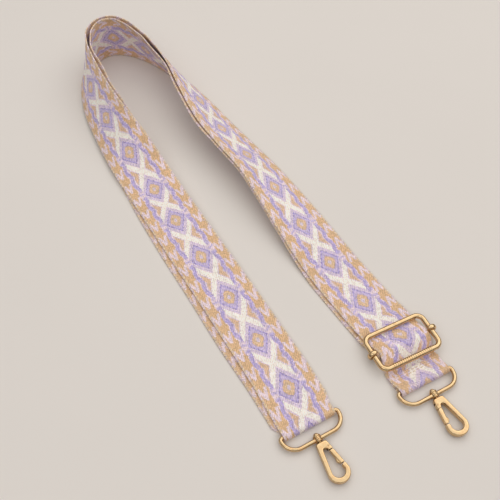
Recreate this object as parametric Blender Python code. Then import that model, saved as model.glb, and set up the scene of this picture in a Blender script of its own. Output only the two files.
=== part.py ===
"""Detachable shoulder strap for a bag, laid out doubled in a U. Metres, +Z up.

One strip of patterned webbing is sewn round the right ring, threads through the slider, runs up the
right leg, round the bend and down the left leg, turns round the left ring and comes back underneath,
where its end is sewn round the slider's own bar. Each ring carries a swivel hook with a sprung gate.

The model is laid out in plan with the legs along Y: the hooks at -Y, the bend at +Y and the floor at
Z = 0. At the end the root empty moves the whole part, so that its origin is the middle of its base.
"""

import math

import bmesh
import bpy
import numpy as np
from mathutils import Matrix, Vector

# Fits
GAP = 0.0003
OVERRUN = 0.002

# Webbing
WEB_WIDTH = 0.0500
WEB_THICK = 0.0014
SELVEDGE = 0.0006
STATION_STEP = 0.011
LOOP_STEPS = 9
SECTION_COLUMNS = 8
CROSSING_STEPS = 27
ADJUST_STEPS = 9

# Layout of the strap on the table
LEG_HALF_SPREAD = 0.0490
BEND_REACH = 0.4985
BEND_LAYER_GAP = 0.0022
LEFT_SLIP = 0.0070
RIGHT_SLIP = 0.0030
LEFT_BAR_X = -0.0500
LEFT_BAR_Y = 0.0042
LEFT_TURN = math.radians(-1.0)
RIGHT_TURN = math.radians(-2.0)
RIGHT_BAR_X = 0.0508
RIGHT_BAR_Y = -0.0116

# Route of the outer layer's middle line, from the left ring round the bend to the right leg.
# Columns: X as a share of LEG_HALF_SPREAD, Y of BEND_REACH, edge-up tilt of a quarter turn,
# extra layer gap of BEND_LAYER_GAP, sideways slip of the under layer of LEFT_SLIP or RIGHT_SLIP
ROUTE_SHARES = (
    (-0.968, 0.050, 0.00, 0.0, -0.30),
    (-0.948, 0.110, 0.00, 0.0, -0.62),
    (-0.952, 0.200, 0.00, 0.0, -0.85),
    (-0.970, 0.310, 0.01, 0.0, -0.80),
    (-1.000, 0.420, 0.03, 0.0, -0.70),
    (-1.025, 0.520, 0.05, 0.0, -0.45),
    (-1.050, 0.600, 0.10, 0.1, -0.10),
    (-1.100, 0.674, 0.30, 0.5, 0.00),
    (-1.145, 0.750, 0.51, 0.9, 0.00),
    (-1.110, 0.831, 0.62, 1.1, 0.00),
    (-0.970, 0.909, 0.76, 1.1, 0.00),
    (-0.815, 0.948, 0.87, 1.0, 0.00),
    (-0.600, 0.980, 0.96, 1.0, 0.00),
    (-0.250, 1.000, 1.00, 1.0, 0.00),
    (0.115, 0.993, 1.00, 1.0, 0.00),
    (0.370, 0.964, 0.93, 1.0, 0.00),
    (0.520, 0.925, 0.86, 0.9, 0.00),
    (0.645, 0.888, 0.80, 0.8, 0.00),
    (0.785, 0.811, 0.66, 0.6, 0.20),
    (0.812, 0.731, 0.50, 0.4, 0.50),
    (0.825, 0.653, 0.38, 0.3, 0.60),
    (0.900, 0.575, 0.33, 0.2, 0.30),
    (0.980, 0.497, 0.30, 0.1, 0.10),
    (1.004, 0.419, 0.21, 0.0, 0.10),
    (1.010, 0.340, 0.11, 0.0, 0.30),
    (1.016, 0.275, 0.03, 0.0, 0.70),
)

# Rings
RING_WIRE = 0.0035
RING_SIDE_GAP = 0.0005
RING_DEPTH = 0.0139
RING_BAR_CORNER = 0.0022
RING_BASE_CORNER = 0.0115
FOLD_WIDTH = 0.0474
LEFT_FOLD_SHARE = 0.98
RING_INNER_WIDTH = FOLD_WIDTH + 2 * RING_SIDE_GAP
FOLD_EASE = 0.0110
FOLD_TAIL = 0.0150
LOOP_JOIN = 0.0200
BOSS_RADIUS = 0.0032
BOSS_LENGTH = 0.0060
BOSS_GROOVE = 0.0005
BOSS_GROOVE_COUNT = 2
BOSS_LAND_SHARE = 0.7

# Swivel rivets
RIVET_RADIUS = 0.0011
RIVET_HEAD_RADIUS = 0.0022
RIVET_HEAD_HEIGHT = 0.0018
RIVET_GRIP = 0.0024

# Hooks: the eye's lower end is two round ends about nearly one centre, its upper end is narrow
HOOK_THICK = 0.0050
HOOK_TOP_HALF_WIDTH = 0.0047
HOOK_END_RADIUS = 0.0089
HOOK_END_DEPTH = 0.0257
EYE_END_RADIUS = 0.0052
EYE_END_DEPTH = 0.0250
EYE_TOP_RADIUS = 0.0019
EYE_TOP_DEPTH = 0.0079
HOOK_EDGE_ROUND = 0.0011
NOSE_DEPTH = 0.0216
NOSE_SLANT = 0.0009
CHEEK_DEPTH = 0.0084

# Gates
GATE_PIVOT_X = 0.0038
GATE_PIVOT_DEPTH = 0.0052
GATE_THICK = 0.0044
GATE_END_GAP = 0.0004
GATE_EDGE_ROUND = 0.0008
TONGUE_RADIUS = 0.0015
TONGUE_THICK = 0.0011
TONGUE_LINK_HALF_WIDTH = 0.0010
TONGUE_ARC_QUARTERS = (2.3, 3.7)
NUB_HEIGHT = 0.0010
NUB_LENGTH = 0.0036
NUB_SETBACK = 0.0008
PIN_RADIUS = 0.00065
PIN_PROUD = 0.0001
SLOT_THICK = 0.0034
SLOT_INNER_X = 0.0014
SLOT_DEPTH = 0.0032
SPRING_WIRE = 0.0003
SPRING_TURNS = 2
SPRING_TURN_STEPS = 9
SPRING_PITCH = 0.0005
SPRING_KNEE_DEPTH = 0.0088
SPRING_END_DEPTH = 0.0111
SPRING_SETBACK = 0.0002

# Slider
SLIDER_X = 0.0553
SLIDER_Y = 0.0243
SLIDER_TURN = math.radians(-4.0)
LEG_LEAN = math.radians(3.3)
SLIDER_LENGTH = 0.0325
SLIDER_WIRE = 0.0046
SLIDER_CORNER = 0.0060
SLEEVE_RADIUS = 0.0027
SLEEVE_LENGTH = 0.0380
SLEEVE_RIB_COUNT = 20
SLEEVE_RIB_HEIGHT = 0.00022
SLEEVE_LAND_SHARE = 0.5
BAR_WIRE = 0.0026
CREST_WIDTH = 0.0498
CREST_SIDE_GAP = 0.0009
SLIDER_WIDTH = CREST_WIDTH + 2 * CREST_SIDE_GAP + SLIDER_WIRE
EYE_WRAP = 1.35
LEAN_EASE = 0.0260
CREST_FRONT_EASE = 0.0150
CREST_BACK_EASE = 0.0105
BAR_FOLD_EASE = 0.0080
BAR_FOLD_TAIL = 0.0260
CROSSING_END = 0.0240
OUTER_DROP = 0.0090
ADJUST_END = 0.0880
WIDTH_EASE = 0.0180

# Stitching across the right fold
STITCH_LENGTH = 0.0026
STITCH_GAP = 0.0012
STITCH_RADIUS = 0.00028
STITCH_ROWS = 2
STITCH_ROW_PITCH = 0.0022
STITCH_SETBACK = 0.0020
STITCH_MARGIN = 0.0035
STITCH_SIDES = 6

# Thickness along one stitch. Columns: place along it, share of the thread's full radius
STITCH_SHARES = ((-0.5, 0.5), (-0.3, 1.0), (0.3, 1.0), (0.5, 0.5))

# Heights of the webbing's layers above the table, worked out from the thickness
LAYER_PITCH = WEB_THICK + GAP
UNDER_Z = WEB_THICK / 2
OUTER_Z = UNDER_Z + LAYER_PITCH
STACK_Z = OUTER_Z + LAYER_PITCH
RING_RADIUS = RING_WIRE / 2
RING_LOOP_RADIUS = RING_RADIUS + GAP + WEB_THICK / 2
RING_Z = UNDER_Z + RING_LOOP_RADIUS
FRAME_RADIUS = SLIDER_WIRE / 2
FRAME_Z = STACK_Z + WEB_THICK / 2 + GAP + FRAME_RADIUS
BAR_RADIUS = BAR_WIRE / 2
BAR_EYE_RADIUS = FRAME_RADIUS + GAP + BAR_RADIUS
BAR_Z = FRAME_Z - BAR_EYE_RADIUS
BAR_LOOP_RADIUS = BAR_RADIUS + GAP + WEB_THICK / 2
CREST_Z = BAR_Z + BAR_LOOP_RADIUS + LAYER_PITCH

# Round pieces
WIRE_SIDES = 10
LATHE_SIDES = 20
SLEEVE_SIDES = 12
ARC_STEPS = 8
EYE_ARC_STEPS = 9

UP = np.array((0.0, 0.0, 1.0))
GOLD = (0.84, 0.64, 0.36)


def clear_scene():
    """Remove every object that the file opened with."""
    for item in list(bpy.data.objects):
        bpy.data.objects.remove(item, do_unlink=True)


def material(name, colour, roughness, metallic):
    """A Principled material of one colour."""
    found = bpy.data.materials.get(name)
    if found:
        return found
    made = bpy.data.materials.new(name)
    made.use_nodes = True
    shader = made.node_tree.nodes["Principled BSDF"]
    shader.inputs["Base Color"].default_value = (*colour, 1.0)
    shader.inputs["Roughness"].default_value = roughness
    shader.inputs["Metallic"].default_value = metallic
    return made


def webbing_material():
    return material("webbing", (0.66, 0.53, 0.55), 0.85, 0.0)


def thread_material():
    return material("thread", (0.78, 0.66, 0.48), 0.8, 0.0)


def gold_material():
    return material("pale_gold", GOLD, 0.22, 1.0)


def steel_material():
    return material("spring_steel", (0.55, 0.54, 0.52), 0.35, 1.0)


def empty(name, parent=None, location=(0.0, 0.0, 0.0), turn=(0.0, 0.0, 0.0)):
    """An axis that carries pieces."""
    axis = bpy.data.objects.new(name, None)
    bpy.context.scene.collection.objects.link(axis)
    axis.parent = parent
    axis.location = location
    axis.rotation_euler = turn
    return axis


def add_object(name, mesh, parent, surface, smooth_angle=None):
    """Link a mesh as one named piece under its axis."""
    item = bpy.data.objects.new(name, mesh)
    bpy.context.scene.collection.objects.link(item)
    item.parent = parent
    if surface:
        mesh.materials.append(surface)
    if smooth_angle:
        mesh.shade_smooth()
        mesh.set_sharp_from_angle(angle=math.radians(smooth_angle))
    return item


def mesh_from_bmesh(name, shape):
    """Turn a closed bmesh into a mesh whose faces point out."""
    bmesh.ops.recalc_face_normals(shape, faces=shape.faces)
    mesh = bpy.data.meshes.new(name)
    shape.to_mesh(mesh)
    shape.free()
    return mesh


def skin_rings(shape, rings, closed=False):
    """Bridge a list of point rings into a tube, with flat ends unless it closes on itself."""
    rows = [[shape.verts.new(Vector(point)) for point in ring] for ring in rings]
    pairs = list(zip(rows, rows[1:]))
    if closed:
        pairs.append((rows[-1], rows[0]))
    for low, high in pairs:
        for here in range(len(low)):
            there = (here + 1) % len(low)
            shape.faces.new((low[here], low[there], high[there], high[here]))
    if not closed:
        shape.faces.new(rows[0])
        shape.faces.new(rows[-1])


def unit(vectors):
    """Scale rows to length one."""
    return vectors / np.linalg.norm(vectors, axis=-1, keepdims=True)


def ribbon_section(width):
    """Outline of the webbing's section: across and up, along the bottom and back along the top."""
    side, half = width / 2, WEB_THICK / 2
    across = np.linspace(-side + SELVEDGE, side - SELVEDGE, SECTION_COLUMNS + 1)
    edge = half - SELVEDGE / 2
    bottom = [(-side, -edge)] + [(place, -half) for place in across] + [(side, -edge)]
    return bottom + [(place, -up) for place, up in reversed(bottom)]


def skin_ribbon(shape, rings):
    """Bridge the webbing's sections with triangles that slant alike on both faces."""
    rows = [[shape.verts.new(Vector(point)) for point in ring] for ring in rings]
    count = len(rows[0])
    for low, high in zip(rows, rows[1:]):
        for here in range(count):
            there = (here + 1) % count
            if here < count / 2:
                shape.faces.new((low[here], low[there], high[there]))
                shape.faces.new((low[here], high[there], high[here]))
            else:
                shape.faces.new((low[here], low[there], high[here]))
                shape.faces.new((low[there], high[there], high[here]))
    shape.faces.new(rows[0])
    shape.faces.new(rows[-1])


def ribbon(name, route, parent, local=None):
    """Carry the webbing's flat section along a route of middles, laterals and widths."""
    middles, laterals, widths = route
    tangents = unit(np.gradient(middles, axis=0))
    normals = unit(np.cross(tangents, laterals))
    rings = []
    for middle, lateral, normal, width in zip(middles, laterals, normals, widths):
        ring = [middle + lateral * across + normal * up for across, up in ribbon_section(width)]
        rings.append([local @ Vector(point) for point in ring] if local else ring)
    shape = bmesh.new()
    skin_ribbon(shape, rings)
    mesh = mesh_from_bmesh(name, shape)
    return add_object(name, mesh, parent, webbing_material(), 40)


def ease(amount):
    """Raised cosine from 0 to 1."""
    return (1 - np.cos(np.pi * np.clip(amount, 0, 1))) / 2


def smooth_rows(rows, step):
    """Catmull-Rom curve through the rows, read again at even steps of its plan length."""
    rows = np.array(rows, dtype=float)
    padded = np.vstack((2 * rows[0] - rows[1], rows, 2 * rows[-1] - rows[-2]))
    share = np.linspace(0, 1, ARC_STEPS * 2, endpoint=False)[:, None]
    pieces = []
    for before, start, end, after in zip(padded, padded[1:], padded[2:], padded[3:]):
        pieces.append(0.5 * (
            2 * start + (end - before) * share
            + (2 * before - 5 * start + 4 * end - after) * share**2
            + (3 * start - before - 3 * end + after) * share**3
        ))
    curve = np.vstack((*pieces, rows[-1:]))
    steps = np.linalg.norm(np.diff(curve[:, :2], axis=0), axis=1)
    length = np.concatenate(((0,), np.cumsum(steps)))
    count = max(2, int(round(length[-1] / step)) + 1)
    even = np.linspace(0, length[-1], count)
    return np.stack([np.interp(even, length, column) for column in curve.T], axis=1)


def leg_place(along, across=0.0):
    """Plan place of a point of the leg beside the slider, along its lean towards the bend."""
    lean_cos, lean_sin = math.cos(LEG_LEAN), math.sin(LEG_LEAN)
    return np.stack((
        SLIDER_X - lean_sin * np.asarray(along) + lean_cos * across,
        SLIDER_Y + lean_cos * np.asarray(along) + lean_sin * across,
    ), axis=-1)


def leg_laterals(along):
    """Lateral directions beside the slider: the bar's own at the bar, and the leg's away from it."""
    turn = SLIDER_TURN + (LEG_LEAN - SLIDER_TURN) * ease(np.abs(along) / LEAN_EASE)
    return np.stack((-np.cos(turn), -np.sin(turn), np.zeros(len(along))), axis=1)


def laid_rows():
    """Plan rows X, Y, tilt, extra gap and slip of the outer layer, left ring to adjusting stretch."""
    rows = []
    for x_share, y_share, tilt_share, gap_share, slip_share in ROUTE_SHARES:
        slip = LEFT_SLIP if slip_share < 0 else RIGHT_SLIP
        rows.append((
            x_share * LEG_HALF_SPREAD, y_share * BEND_REACH, tilt_share * math.pi / 2,
            gap_share * BEND_LAYER_GAP, slip_share * slip,
        ))
    join_x, join_y = leg_place(ADJUST_END)
    rows.append((join_x, join_y, 0.0, 0.0, RIGHT_SLIP))
    return smooth_rows(rows, STATION_STEP)


def laid_route(under):
    """Route of the outer layer, or of the under layer, from the left ring to the adjusting stretch."""
    rows = laid_rows()
    plan, tilt, extra, slip = rows[:, :2], rows[:, 2:3], rows[:, 3:4], rows[:, 4:5]
    heading = np.gradient(plan, axis=0)
    heading[0] = (0.0, 1.0)
    heading[-1] = leg_place(ADJUST_END) - leg_place(ADJUST_END + OVERRUN)
    heading = unit(heading)
    inward = np.stack((heading[:, 1], -heading[:, 0], np.zeros(len(rows))), axis=1)
    laterals = inward * np.cos(tilt) + UP * np.sin(tilt)
    heights = OUTER_Z * np.cos(tilt) + WEB_WIDTH / 2 * np.sin(tilt)
    outer = np.hstack((plan, heights))
    normals = unit(np.cross(laterals, unit(np.gradient(outer, axis=0))))
    inner = outer - normals * (LAYER_PITCH + extra) + laterals * slip
    lowest = inner[:, 2] - WEB_WIDTH / 2 * laterals[:, 2] - WEB_THICK / 2 * normals[:, 2]
    middles = inner if under else outer
    middles[:, 2] -= np.minimum(lowest, 0.0)
    widths = np.full(len(rows), WEB_WIDTH)
    return middles, laterals, widths


def loop_profile(bar_z, radius, top_z, bottom_z, spread, top_reach, bottom_reach):
    """Side view of webbing turned round a bar at 0: along and height, from below to above."""
    below = np.linspace(bottom_reach, 0, LOOP_STEPS, endpoint=False)
    above = np.linspace(0, top_reach, LOOP_STEPS + 1)[1:]
    turn = np.linspace(-np.pi / 2, -3 * np.pi / 2, LOOP_STEPS + 2)
    along = np.concatenate((below, radius * np.cos(turn), above))
    low = bottom_z + (bar_z - radius - bottom_z) * (1 - ease(below / spread))
    high = top_z + (bar_z + radius - top_z) * (1 - ease(above / spread))
    height = np.concatenate((low, bar_z + radius * np.sin(turn), high))
    return along, height


def ring_loop_route(bar_x, bar_y, turn, far_turn, reach, fold_width, join_x, slip, inward):
    """Route of the webbing round a ring's bar, drawn in from its full width at the join."""
    along, height = loop_profile(
        RING_Z, RING_LOOP_RADIUS, OUTER_Z, UNDER_Z, FOLD_EASE, reach, reach
    )
    share = ease(along / LOOP_JOIN)
    below = np.arange(len(along)) < LOOP_STEPS
    shift = (join_x - bar_x) * share + slip * ease(along / reach) * below
    turns = far_turn + (turn - far_turn) * (1 - ease(along / reach))
    plan_x = bar_x + shift - along * np.sin(turns)
    middles = np.stack((plan_x, bar_y + along * np.cos(turns), height), axis=1)
    laterals = inward * np.stack((np.cos(turns), np.sin(turns), np.zeros(len(along))), axis=1)
    widths = fold_width + (WEB_WIDTH - fold_width) * share
    return middles, laterals, widths


def crossing_route():
    """Route over the slider's bar, from the sewn fold's end to the back of the slider."""
    start = RIGHT_BAR_Y + FOLD_TAIL + GAP - SLIDER_Y
    along = np.linspace(start, CROSSING_END, CROSSING_STEPS)
    front = UNDER_Z + (CREST_Z - UNDER_Z) * (1 - ease(-along / CREST_FRONT_EASE))
    back = STACK_Z + (CREST_Z - STACK_Z) * (1 - ease(along / CREST_BACK_EASE))
    height = np.where(along < 0, front, back)
    blend = ease((along - start) / -start)[:, None]
    from_ring = SLIDER_Y + along - RIGHT_BAR_Y
    straight = np.stack((RIGHT_BAR_X - from_ring * math.sin(RIGHT_TURN), SLIDER_Y + along), axis=1)
    plan = straight * (1 - blend) + leg_place(along) * blend
    turn = RIGHT_TURN + (SLIDER_TURN - RIGHT_TURN) * blend[:, 0]
    front_laterals = np.stack((-np.cos(turn), -np.sin(turn), np.zeros(len(along))), axis=1)
    laterals = np.where(along[:, None] < 0, front_laterals, leg_laterals(along))
    entry = FOLD_WIDTH + (WEB_WIDTH - FOLD_WIDTH) * ease(FOLD_TAIL / LOOP_JOIN)
    away = np.where(along < 0, along / start, along / CROSSING_END)
    edge_width = np.where(along < 0, entry, WEB_WIDTH)
    widths = CREST_WIDTH + (edge_width - CREST_WIDTH) * ease(away)
    return np.column_stack((plan, height)), laterals, widths


def adjust_route(under):
    """Route of the flat stretch that the slider travels along."""
    start = (BAR_FOLD_TAIL if under else CROSSING_END) + GAP
    along = np.linspace(start, ADJUST_END - GAP, ADJUST_STEPS)
    drop_start = BAR_FOLD_TAIL + GAP
    slip = RIGHT_SLIP * ease((along - start) / WIDTH_EASE) if under else np.zeros(len(along))
    plan = leg_place(along, -slip)
    if under:
        height = np.full(len(along), UNDER_Z)
    else:
        height = STACK_Z + (OUTER_Z - STACK_Z) * ease((along - drop_start) / OUTER_DROP)
    narrow = CREST_WIDTH if under else WEB_WIDTH
    widths = narrow + (WEB_WIDTH - narrow) * ease((along - start) / WIDTH_EASE)
    return np.column_stack((plan, height)), leg_laterals(along), widths


def bar_fold_route():
    """Route of the strip's other end, sewn round the slider's bar."""
    along, height = loop_profile(
        BAR_Z, BAR_LOOP_RADIUS, OUTER_Z, UNDER_Z, BAR_FOLD_EASE, BAR_FOLD_TAIL - GAP, BAR_FOLD_TAIL
    )
    turn = (along < 0) * SLIDER_TURN + (along >= 0) * LEG_LEAN
    plan = np.stack((SLIDER_X - along * np.sin(turn), SLIDER_Y + along * np.cos(turn)), axis=1)
    widths = np.full(len(along), CREST_WIDTH)
    return np.column_stack((plan, height)), leg_laterals(np.maximum(along, 0)), widths


def trimmed(route, start=0.0, end=0.0):
    """Shorten a route at its ends by a clearance."""
    middles, laterals, widths = (np.array(part) for part in route)
    middles[0] += unit(middles[1] - middles[0]) * start
    middles[-1] += unit(middles[-2] - middles[-1]) * end
    return middles, laterals, widths


def make_webbing(root, slider_axis):
    """The strip, cut where it moves with another body."""
    ribbon("outer_run", trimmed(laid_route(False), GAP, GAP), root)
    ribbon("return_run", trimmed(laid_route(True), GAP, GAP), root)
    left_x_share, left_y_share, _, _, slip_share = ROUTE_SHARES[0]
    left_loop = ring_loop_route(
        LEFT_BAR_X, LEFT_BAR_Y, LEFT_TURN, 0.0, left_y_share * BEND_REACH - LEFT_BAR_Y,
        FOLD_WIDTH * LEFT_FOLD_SHARE, left_x_share * LEG_HALF_SPREAD, slip_share * LEFT_SLIP, 1
    )
    ribbon("left_ring_loop", left_loop, root)
    right_fold = ring_loop_route(
        RIGHT_BAR_X, RIGHT_BAR_Y, RIGHT_TURN, RIGHT_TURN, FOLD_TAIL, FOLD_WIDTH, RIGHT_BAR_X, 0.0, -1
    )
    ribbon("right_sewn_fold", right_fold, root)
    ribbon("outer_adjusting_stretch", adjust_route(False), root)
    ribbon("return_adjusting_stretch", adjust_route(True), root)
    local = slider_matrix().inverted()
    ribbon("slider_crossing", crossing_route(), slider_axis, local)
    ribbon("slider_sewn_fold", bar_fold_route(), slider_axis, local)


def make_stitching(root):
    """The thread that lies on the right fold: two rows of stitches joined by one turn."""
    half = FOLD_WIDTH / 2 - STITCH_MARGIN
    pitch = STITCH_LENGTH + STITCH_GAP
    count = int(2 * half / pitch)
    plan, swells = [], []
    for row in range(STITCH_ROWS):
        sense = 1 if row % 2 == 0 else -1
        along = FOLD_TAIL - STITCH_SETBACK - row * STITCH_ROW_PITCH
        for index in range(count):
            middle = sense * (index - (count - 1) / 2) * pitch
            for share, swell in STITCH_SHARES:
                plan.append((middle + sense * share * STITCH_LENGTH, along))
                swells.append(swell)
    plan = np.array(plan)
    forward = unit(np.gradient(plan, axis=0))
    floor = OUTER_Z + WEB_THICK / 2 + GAP / 2
    rings = []
    for (x, y), (ahead_x, ahead_y), swell in zip(plan, forward, swells):
        radius = STITCH_RADIUS * swell
        ring = []
        for corner in range(STITCH_SIDES):
            turn = math.tau * corner / STITCH_SIDES
            across = radius * math.cos(turn)
            up = floor + radius * (1 + math.sin(turn))
            ring.append((x - ahead_y * across, y + ahead_x * across, up))
        rings.append(ring)
    shape = bmesh.new()
    skin_rings(shape, rings)
    mesh = mesh_from_bmesh("fold_stitching", shape)
    place = Matrix.Translation((RIGHT_BAR_X, RIGHT_BAR_Y, 0.0))
    mesh.transform(place @ Matrix.Rotation(RIGHT_TURN, 4, "Z"))
    add_object("fold_stitching", mesh, root, thread_material())


def wire_mesh(name, points, radius, closed):
    """A round wire along plane or space points, as a curve with a bevel made a mesh."""
    curve = bpy.data.curves.new(name, "CURVE")
    curve.dimensions = "3D"
    curve.bevel_depth = radius
    curve.bevel_resolution = WIRE_SIDES // 2 - 2
    curve.use_fill_caps = not closed
    spline = curve.splines.new("POLY")
    spline.points.add(len(points) - 1)
    for slot, point in zip(spline.points, points):
        slot.co = (*point, 1.0)
    spline.use_cyclic_u = closed
    carrier = bpy.data.objects.new(name, curve)
    bpy.context.scene.collection.objects.link(carrier)
    graph = bpy.context.evaluated_depsgraph_get()
    mesh = bpy.data.meshes.new_from_object(carrier.evaluated_get(graph))
    bpy.data.objects.remove(carrier, do_unlink=True)
    bpy.data.curves.remove(curve)
    shape = bmesh.new()
    shape.from_mesh(mesh)
    bpy.data.meshes.remove(mesh)
    bmesh.ops.remove_doubles(shape, verts=shape.verts, dist=radius / 100)
    return mesh_from_bmesh(name, shape)


def arc(centre, radius, start, end, steps):
    """Points of a plane arc, angles in quarter turns."""
    turns = np.linspace(start, end, steps + 1) * np.pi / 2
    return [(centre[0] + radius * math.cos(t), centre[1] + radius * math.sin(t)) for t in turns]


def lathe_mesh(name, profile, sides):
    """Turn a profile of places along -Y and radii round the Y axis, its first and last radius 0."""
    shape = bmesh.new()
    rings = []
    for place, radius in profile[1:-1]:
        ring = []
        for side in range(sides):
            turn = math.tau * side / sides
            ring.append((radius * math.cos(turn), -place, radius * math.sin(turn)))
        rings.append(ring)
    rows = [[shape.verts.new(point) for point in ring] for ring in rings]
    for low, high in zip(rows, rows[1:]):
        for here in range(sides):
            there = (here + 1) % sides
            shape.faces.new((low[here], low[there], high[there], high[here]))
    for row, (place, _) in ((rows[0], profile[0]), (rows[-1], profile[-1])):
        pole = shape.verts.new((0.0, -place, 0.0))
        for here in range(sides):
            shape.faces.new((row[here], row[(here + 1) % sides], pole))
    return mesh_from_bmesh(name, shape)


def grooved_profile(start, length, radius, groove, count, flat_share):
    """Profile of a barrel with square-edged grooves between its lands."""
    pitch = length / (2 * count + 1)
    profile = [(start, 0.0)]
    for index in range(2 * count + 1):
        land = radius if index % 2 == 0 else radius - groove
        ease_in = pitch * (1 - flat_share) / 2
        profile.append((start + pitch * index + ease_in, land))
        profile.append((start + pitch * (index + 1) - ease_in, land))
    profile.append((start + length, 0.0))
    return profile


def cutter(name, mesh, parent):
    """A shape that only cuts another."""
    tool = add_object(name, mesh, parent, None)
    tool.hide_render = True
    tool.display_type = "WIRE"
    return tool


def combine(target, tool, operation):
    """Add a live Boolean to a piece."""
    step = target.modifiers.new(operation.lower(), "BOOLEAN")
    step.operation = operation
    step.solver = "EXACT"
    step.object = tool


def make_ring(side, axis):
    """Flat D of round wire with a grooved boss in its base, bored for the rivet."""
    half = RING_INNER_WIDTH / 2 + RING_RADIUS
    depth = RING_DEPTH
    low = RING_BASE_CORNER
    high = RING_BAR_CORNER
    points = arc((-half + high, -high), high, 2, 1, ARC_STEPS // 2)
    points += arc((half - high, -high), high, 1, 0, ARC_STEPS // 2)
    points += arc((half - low, -depth + low), low, 0, -1, ARC_STEPS)
    points += arc((-half + low, -depth + low), low, -1, -2, ARC_STEPS)
    name = side + "_ring"
    mesh = wire_mesh(name, [(x, y, 0.0) for x, y in points], RING_RADIUS, True)
    ring = add_object(name, mesh, axis, gold_material(), 50)
    start = depth - BOSS_LENGTH / 2
    boss = lathe_mesh(name + "_boss", grooved_profile(
        start, BOSS_LENGTH, BOSS_RADIUS, BOSS_GROOVE, BOSS_GROOVE_COUNT, BOSS_LAND_SHARE
    ), LATHE_SIDES)
    combine(ring, cutter(name + "_boss", boss, axis), "UNION")
    bore = rod_mesh(name + "_bore", RIVET_RADIUS + GAP, start - OVERRUN, start + BOSS_LENGTH + OVERRUN)
    combine(ring, cutter(name + "_bore", bore, axis), "DIFFERENCE")


def rod_mesh(name, radius, start, end):
    """A plain rod along -Y between two depths."""
    return lathe_mesh(name, ((start, 0.0), (start, radius), (end, radius), (end, 0.0)), LATHE_SIDES)


def make_rivet(side, axis):
    """Domed rivet through the boss, gripped in the hook's top. Its axis is at the hook's top face."""
    under_head = -(GAP + BOSS_LENGTH + GAP)
    turns = np.linspace(0, np.pi / 2, 5)[1:]
    dome = [
        (under_head - RIVET_HEAD_HEIGHT * math.cos(t), RIVET_HEAD_RADIUS * math.sin(t)) for t in turns
    ]
    profile = [(under_head - RIVET_HEAD_HEIGHT, 0.0)] + dome
    profile += [(under_head, RIVET_RADIUS), (RIVET_GRIP, RIVET_RADIUS), (RIVET_GRIP, 0.0)]
    name = side + "_swivel_rivet"
    add_object(name, lathe_mesh(name, profile, LATHE_SIDES), axis, gold_material(), 40)


def outer_half_width(depth):
    """Half width of the hook's outline on its straight flank."""
    flank = HOOK_END_RADIUS - HOOK_TOP_HALF_WIDTH
    return HOOK_TOP_HALF_WIDTH + flank * depth / HOOK_END_DEPTH


def inner_half_width(depth):
    """Half width of the eye between its two round ends."""
    share = (depth - EYE_TOP_DEPTH) / (EYE_END_DEPTH - EYE_TOP_DEPTH)
    return EYE_TOP_RADIUS + (EYE_END_RADIUS - EYE_TOP_RADIUS) * share


def plate_mesh(name, outline, thick, middle=0.0):
    """Extrude an outline of X and depth, with Z as its thickness about a middle height."""
    rings = []
    for z in (middle - thick / 2, middle + thick / 2):
        rings.append([(x, -depth, z) for x, depth in outline])
    shape = bmesh.new()
    skin_rings(shape, rings)
    return mesh_from_bmesh(name, shape)


def hook_outline():
    """Outline of the hook's body: a teardrop eye that is open where the gate shuts it."""
    end, eye = (0.0, HOOK_END_DEPTH), (0.0, EYE_END_DEPTH)
    outline = [(-HOOK_TOP_HALF_WIDTH, 0.0)]
    outline += arc(end, HOOK_END_RADIUS, 2, 0, EYE_ARC_STEPS * 2 - 1)
    outline.append((outer_half_width(NOSE_DEPTH), NOSE_DEPTH))
    outline.append((inner_half_width(NOSE_DEPTH), NOSE_DEPTH + NOSE_SLANT))
    outline += arc(eye, EYE_END_RADIUS, 0, 2, EYE_ARC_STEPS)
    outline += arc((0.0, EYE_TOP_DEPTH), EYE_TOP_RADIUS, 2, 4, ARC_STEPS)[:-1]
    outline.append((EYE_TOP_RADIUS, CHEEK_DEPTH - GAP))
    outline.append((outer_half_width(CHEEK_DEPTH), CHEEK_DEPTH))
    outline.append((HOOK_TOP_HALF_WIDTH, 0.0))
    return outline


def rounded(item, width, segments=2):
    """Soften the long edges of a plate."""
    step = item.modifiers.new("edges", "BEVEL")
    step.width = width
    step.segments = segments
    step.limit_method = "ANGLE"
    step.angle_limit = math.radians(60)
    step.use_clamp_overlap = True


def z_rod_mesh(name, x, depth, radius, half_length):
    """A rod along Z."""
    mesh = rod_mesh(name, radius, -half_length, half_length)
    mesh.transform(Matrix.Translation((x, -depth, 0.0)) @ Matrix.Rotation(math.pi / 2, 4, "X"))
    return mesh


def make_hook(side, axis):
    """Body of the swivel hook with a slot, a pin hole and a rivet bore."""
    name = side + "_hook_body"
    body = add_object(name, plate_mesh(name, hook_outline(), HOOK_THICK), axis, gold_material())
    rounded(body, HOOK_EDGE_ROUND)
    reach = HOOK_END_RADIUS
    slot = plate_mesh(name + "_slot", (
        (SLOT_INNER_X, SLOT_DEPTH), (reach, SLOT_DEPTH),
        (reach, CHEEK_DEPTH + OVERRUN), (SLOT_INNER_X, CHEEK_DEPTH + OVERRUN),
    ), SLOT_THICK)
    combine(body, cutter(name + "_slot", slot, axis), "DIFFERENCE")
    hole = z_rod_mesh(
        name + "_hole", GATE_PIVOT_X, GATE_PIVOT_DEPTH, PIN_RADIUS + GAP, HOOK_THICK / 2 + OVERRUN
    )
    combine(body, cutter(name + "_hole", hole, axis), "DIFFERENCE")
    bore = rod_mesh(name + "_bore", RIVET_RADIUS + GAP, -OVERRUN, RIVET_GRIP + GAP)
    combine(body, cutter(name + "_bore", bore, axis), "DIFFERENCE")


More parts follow.
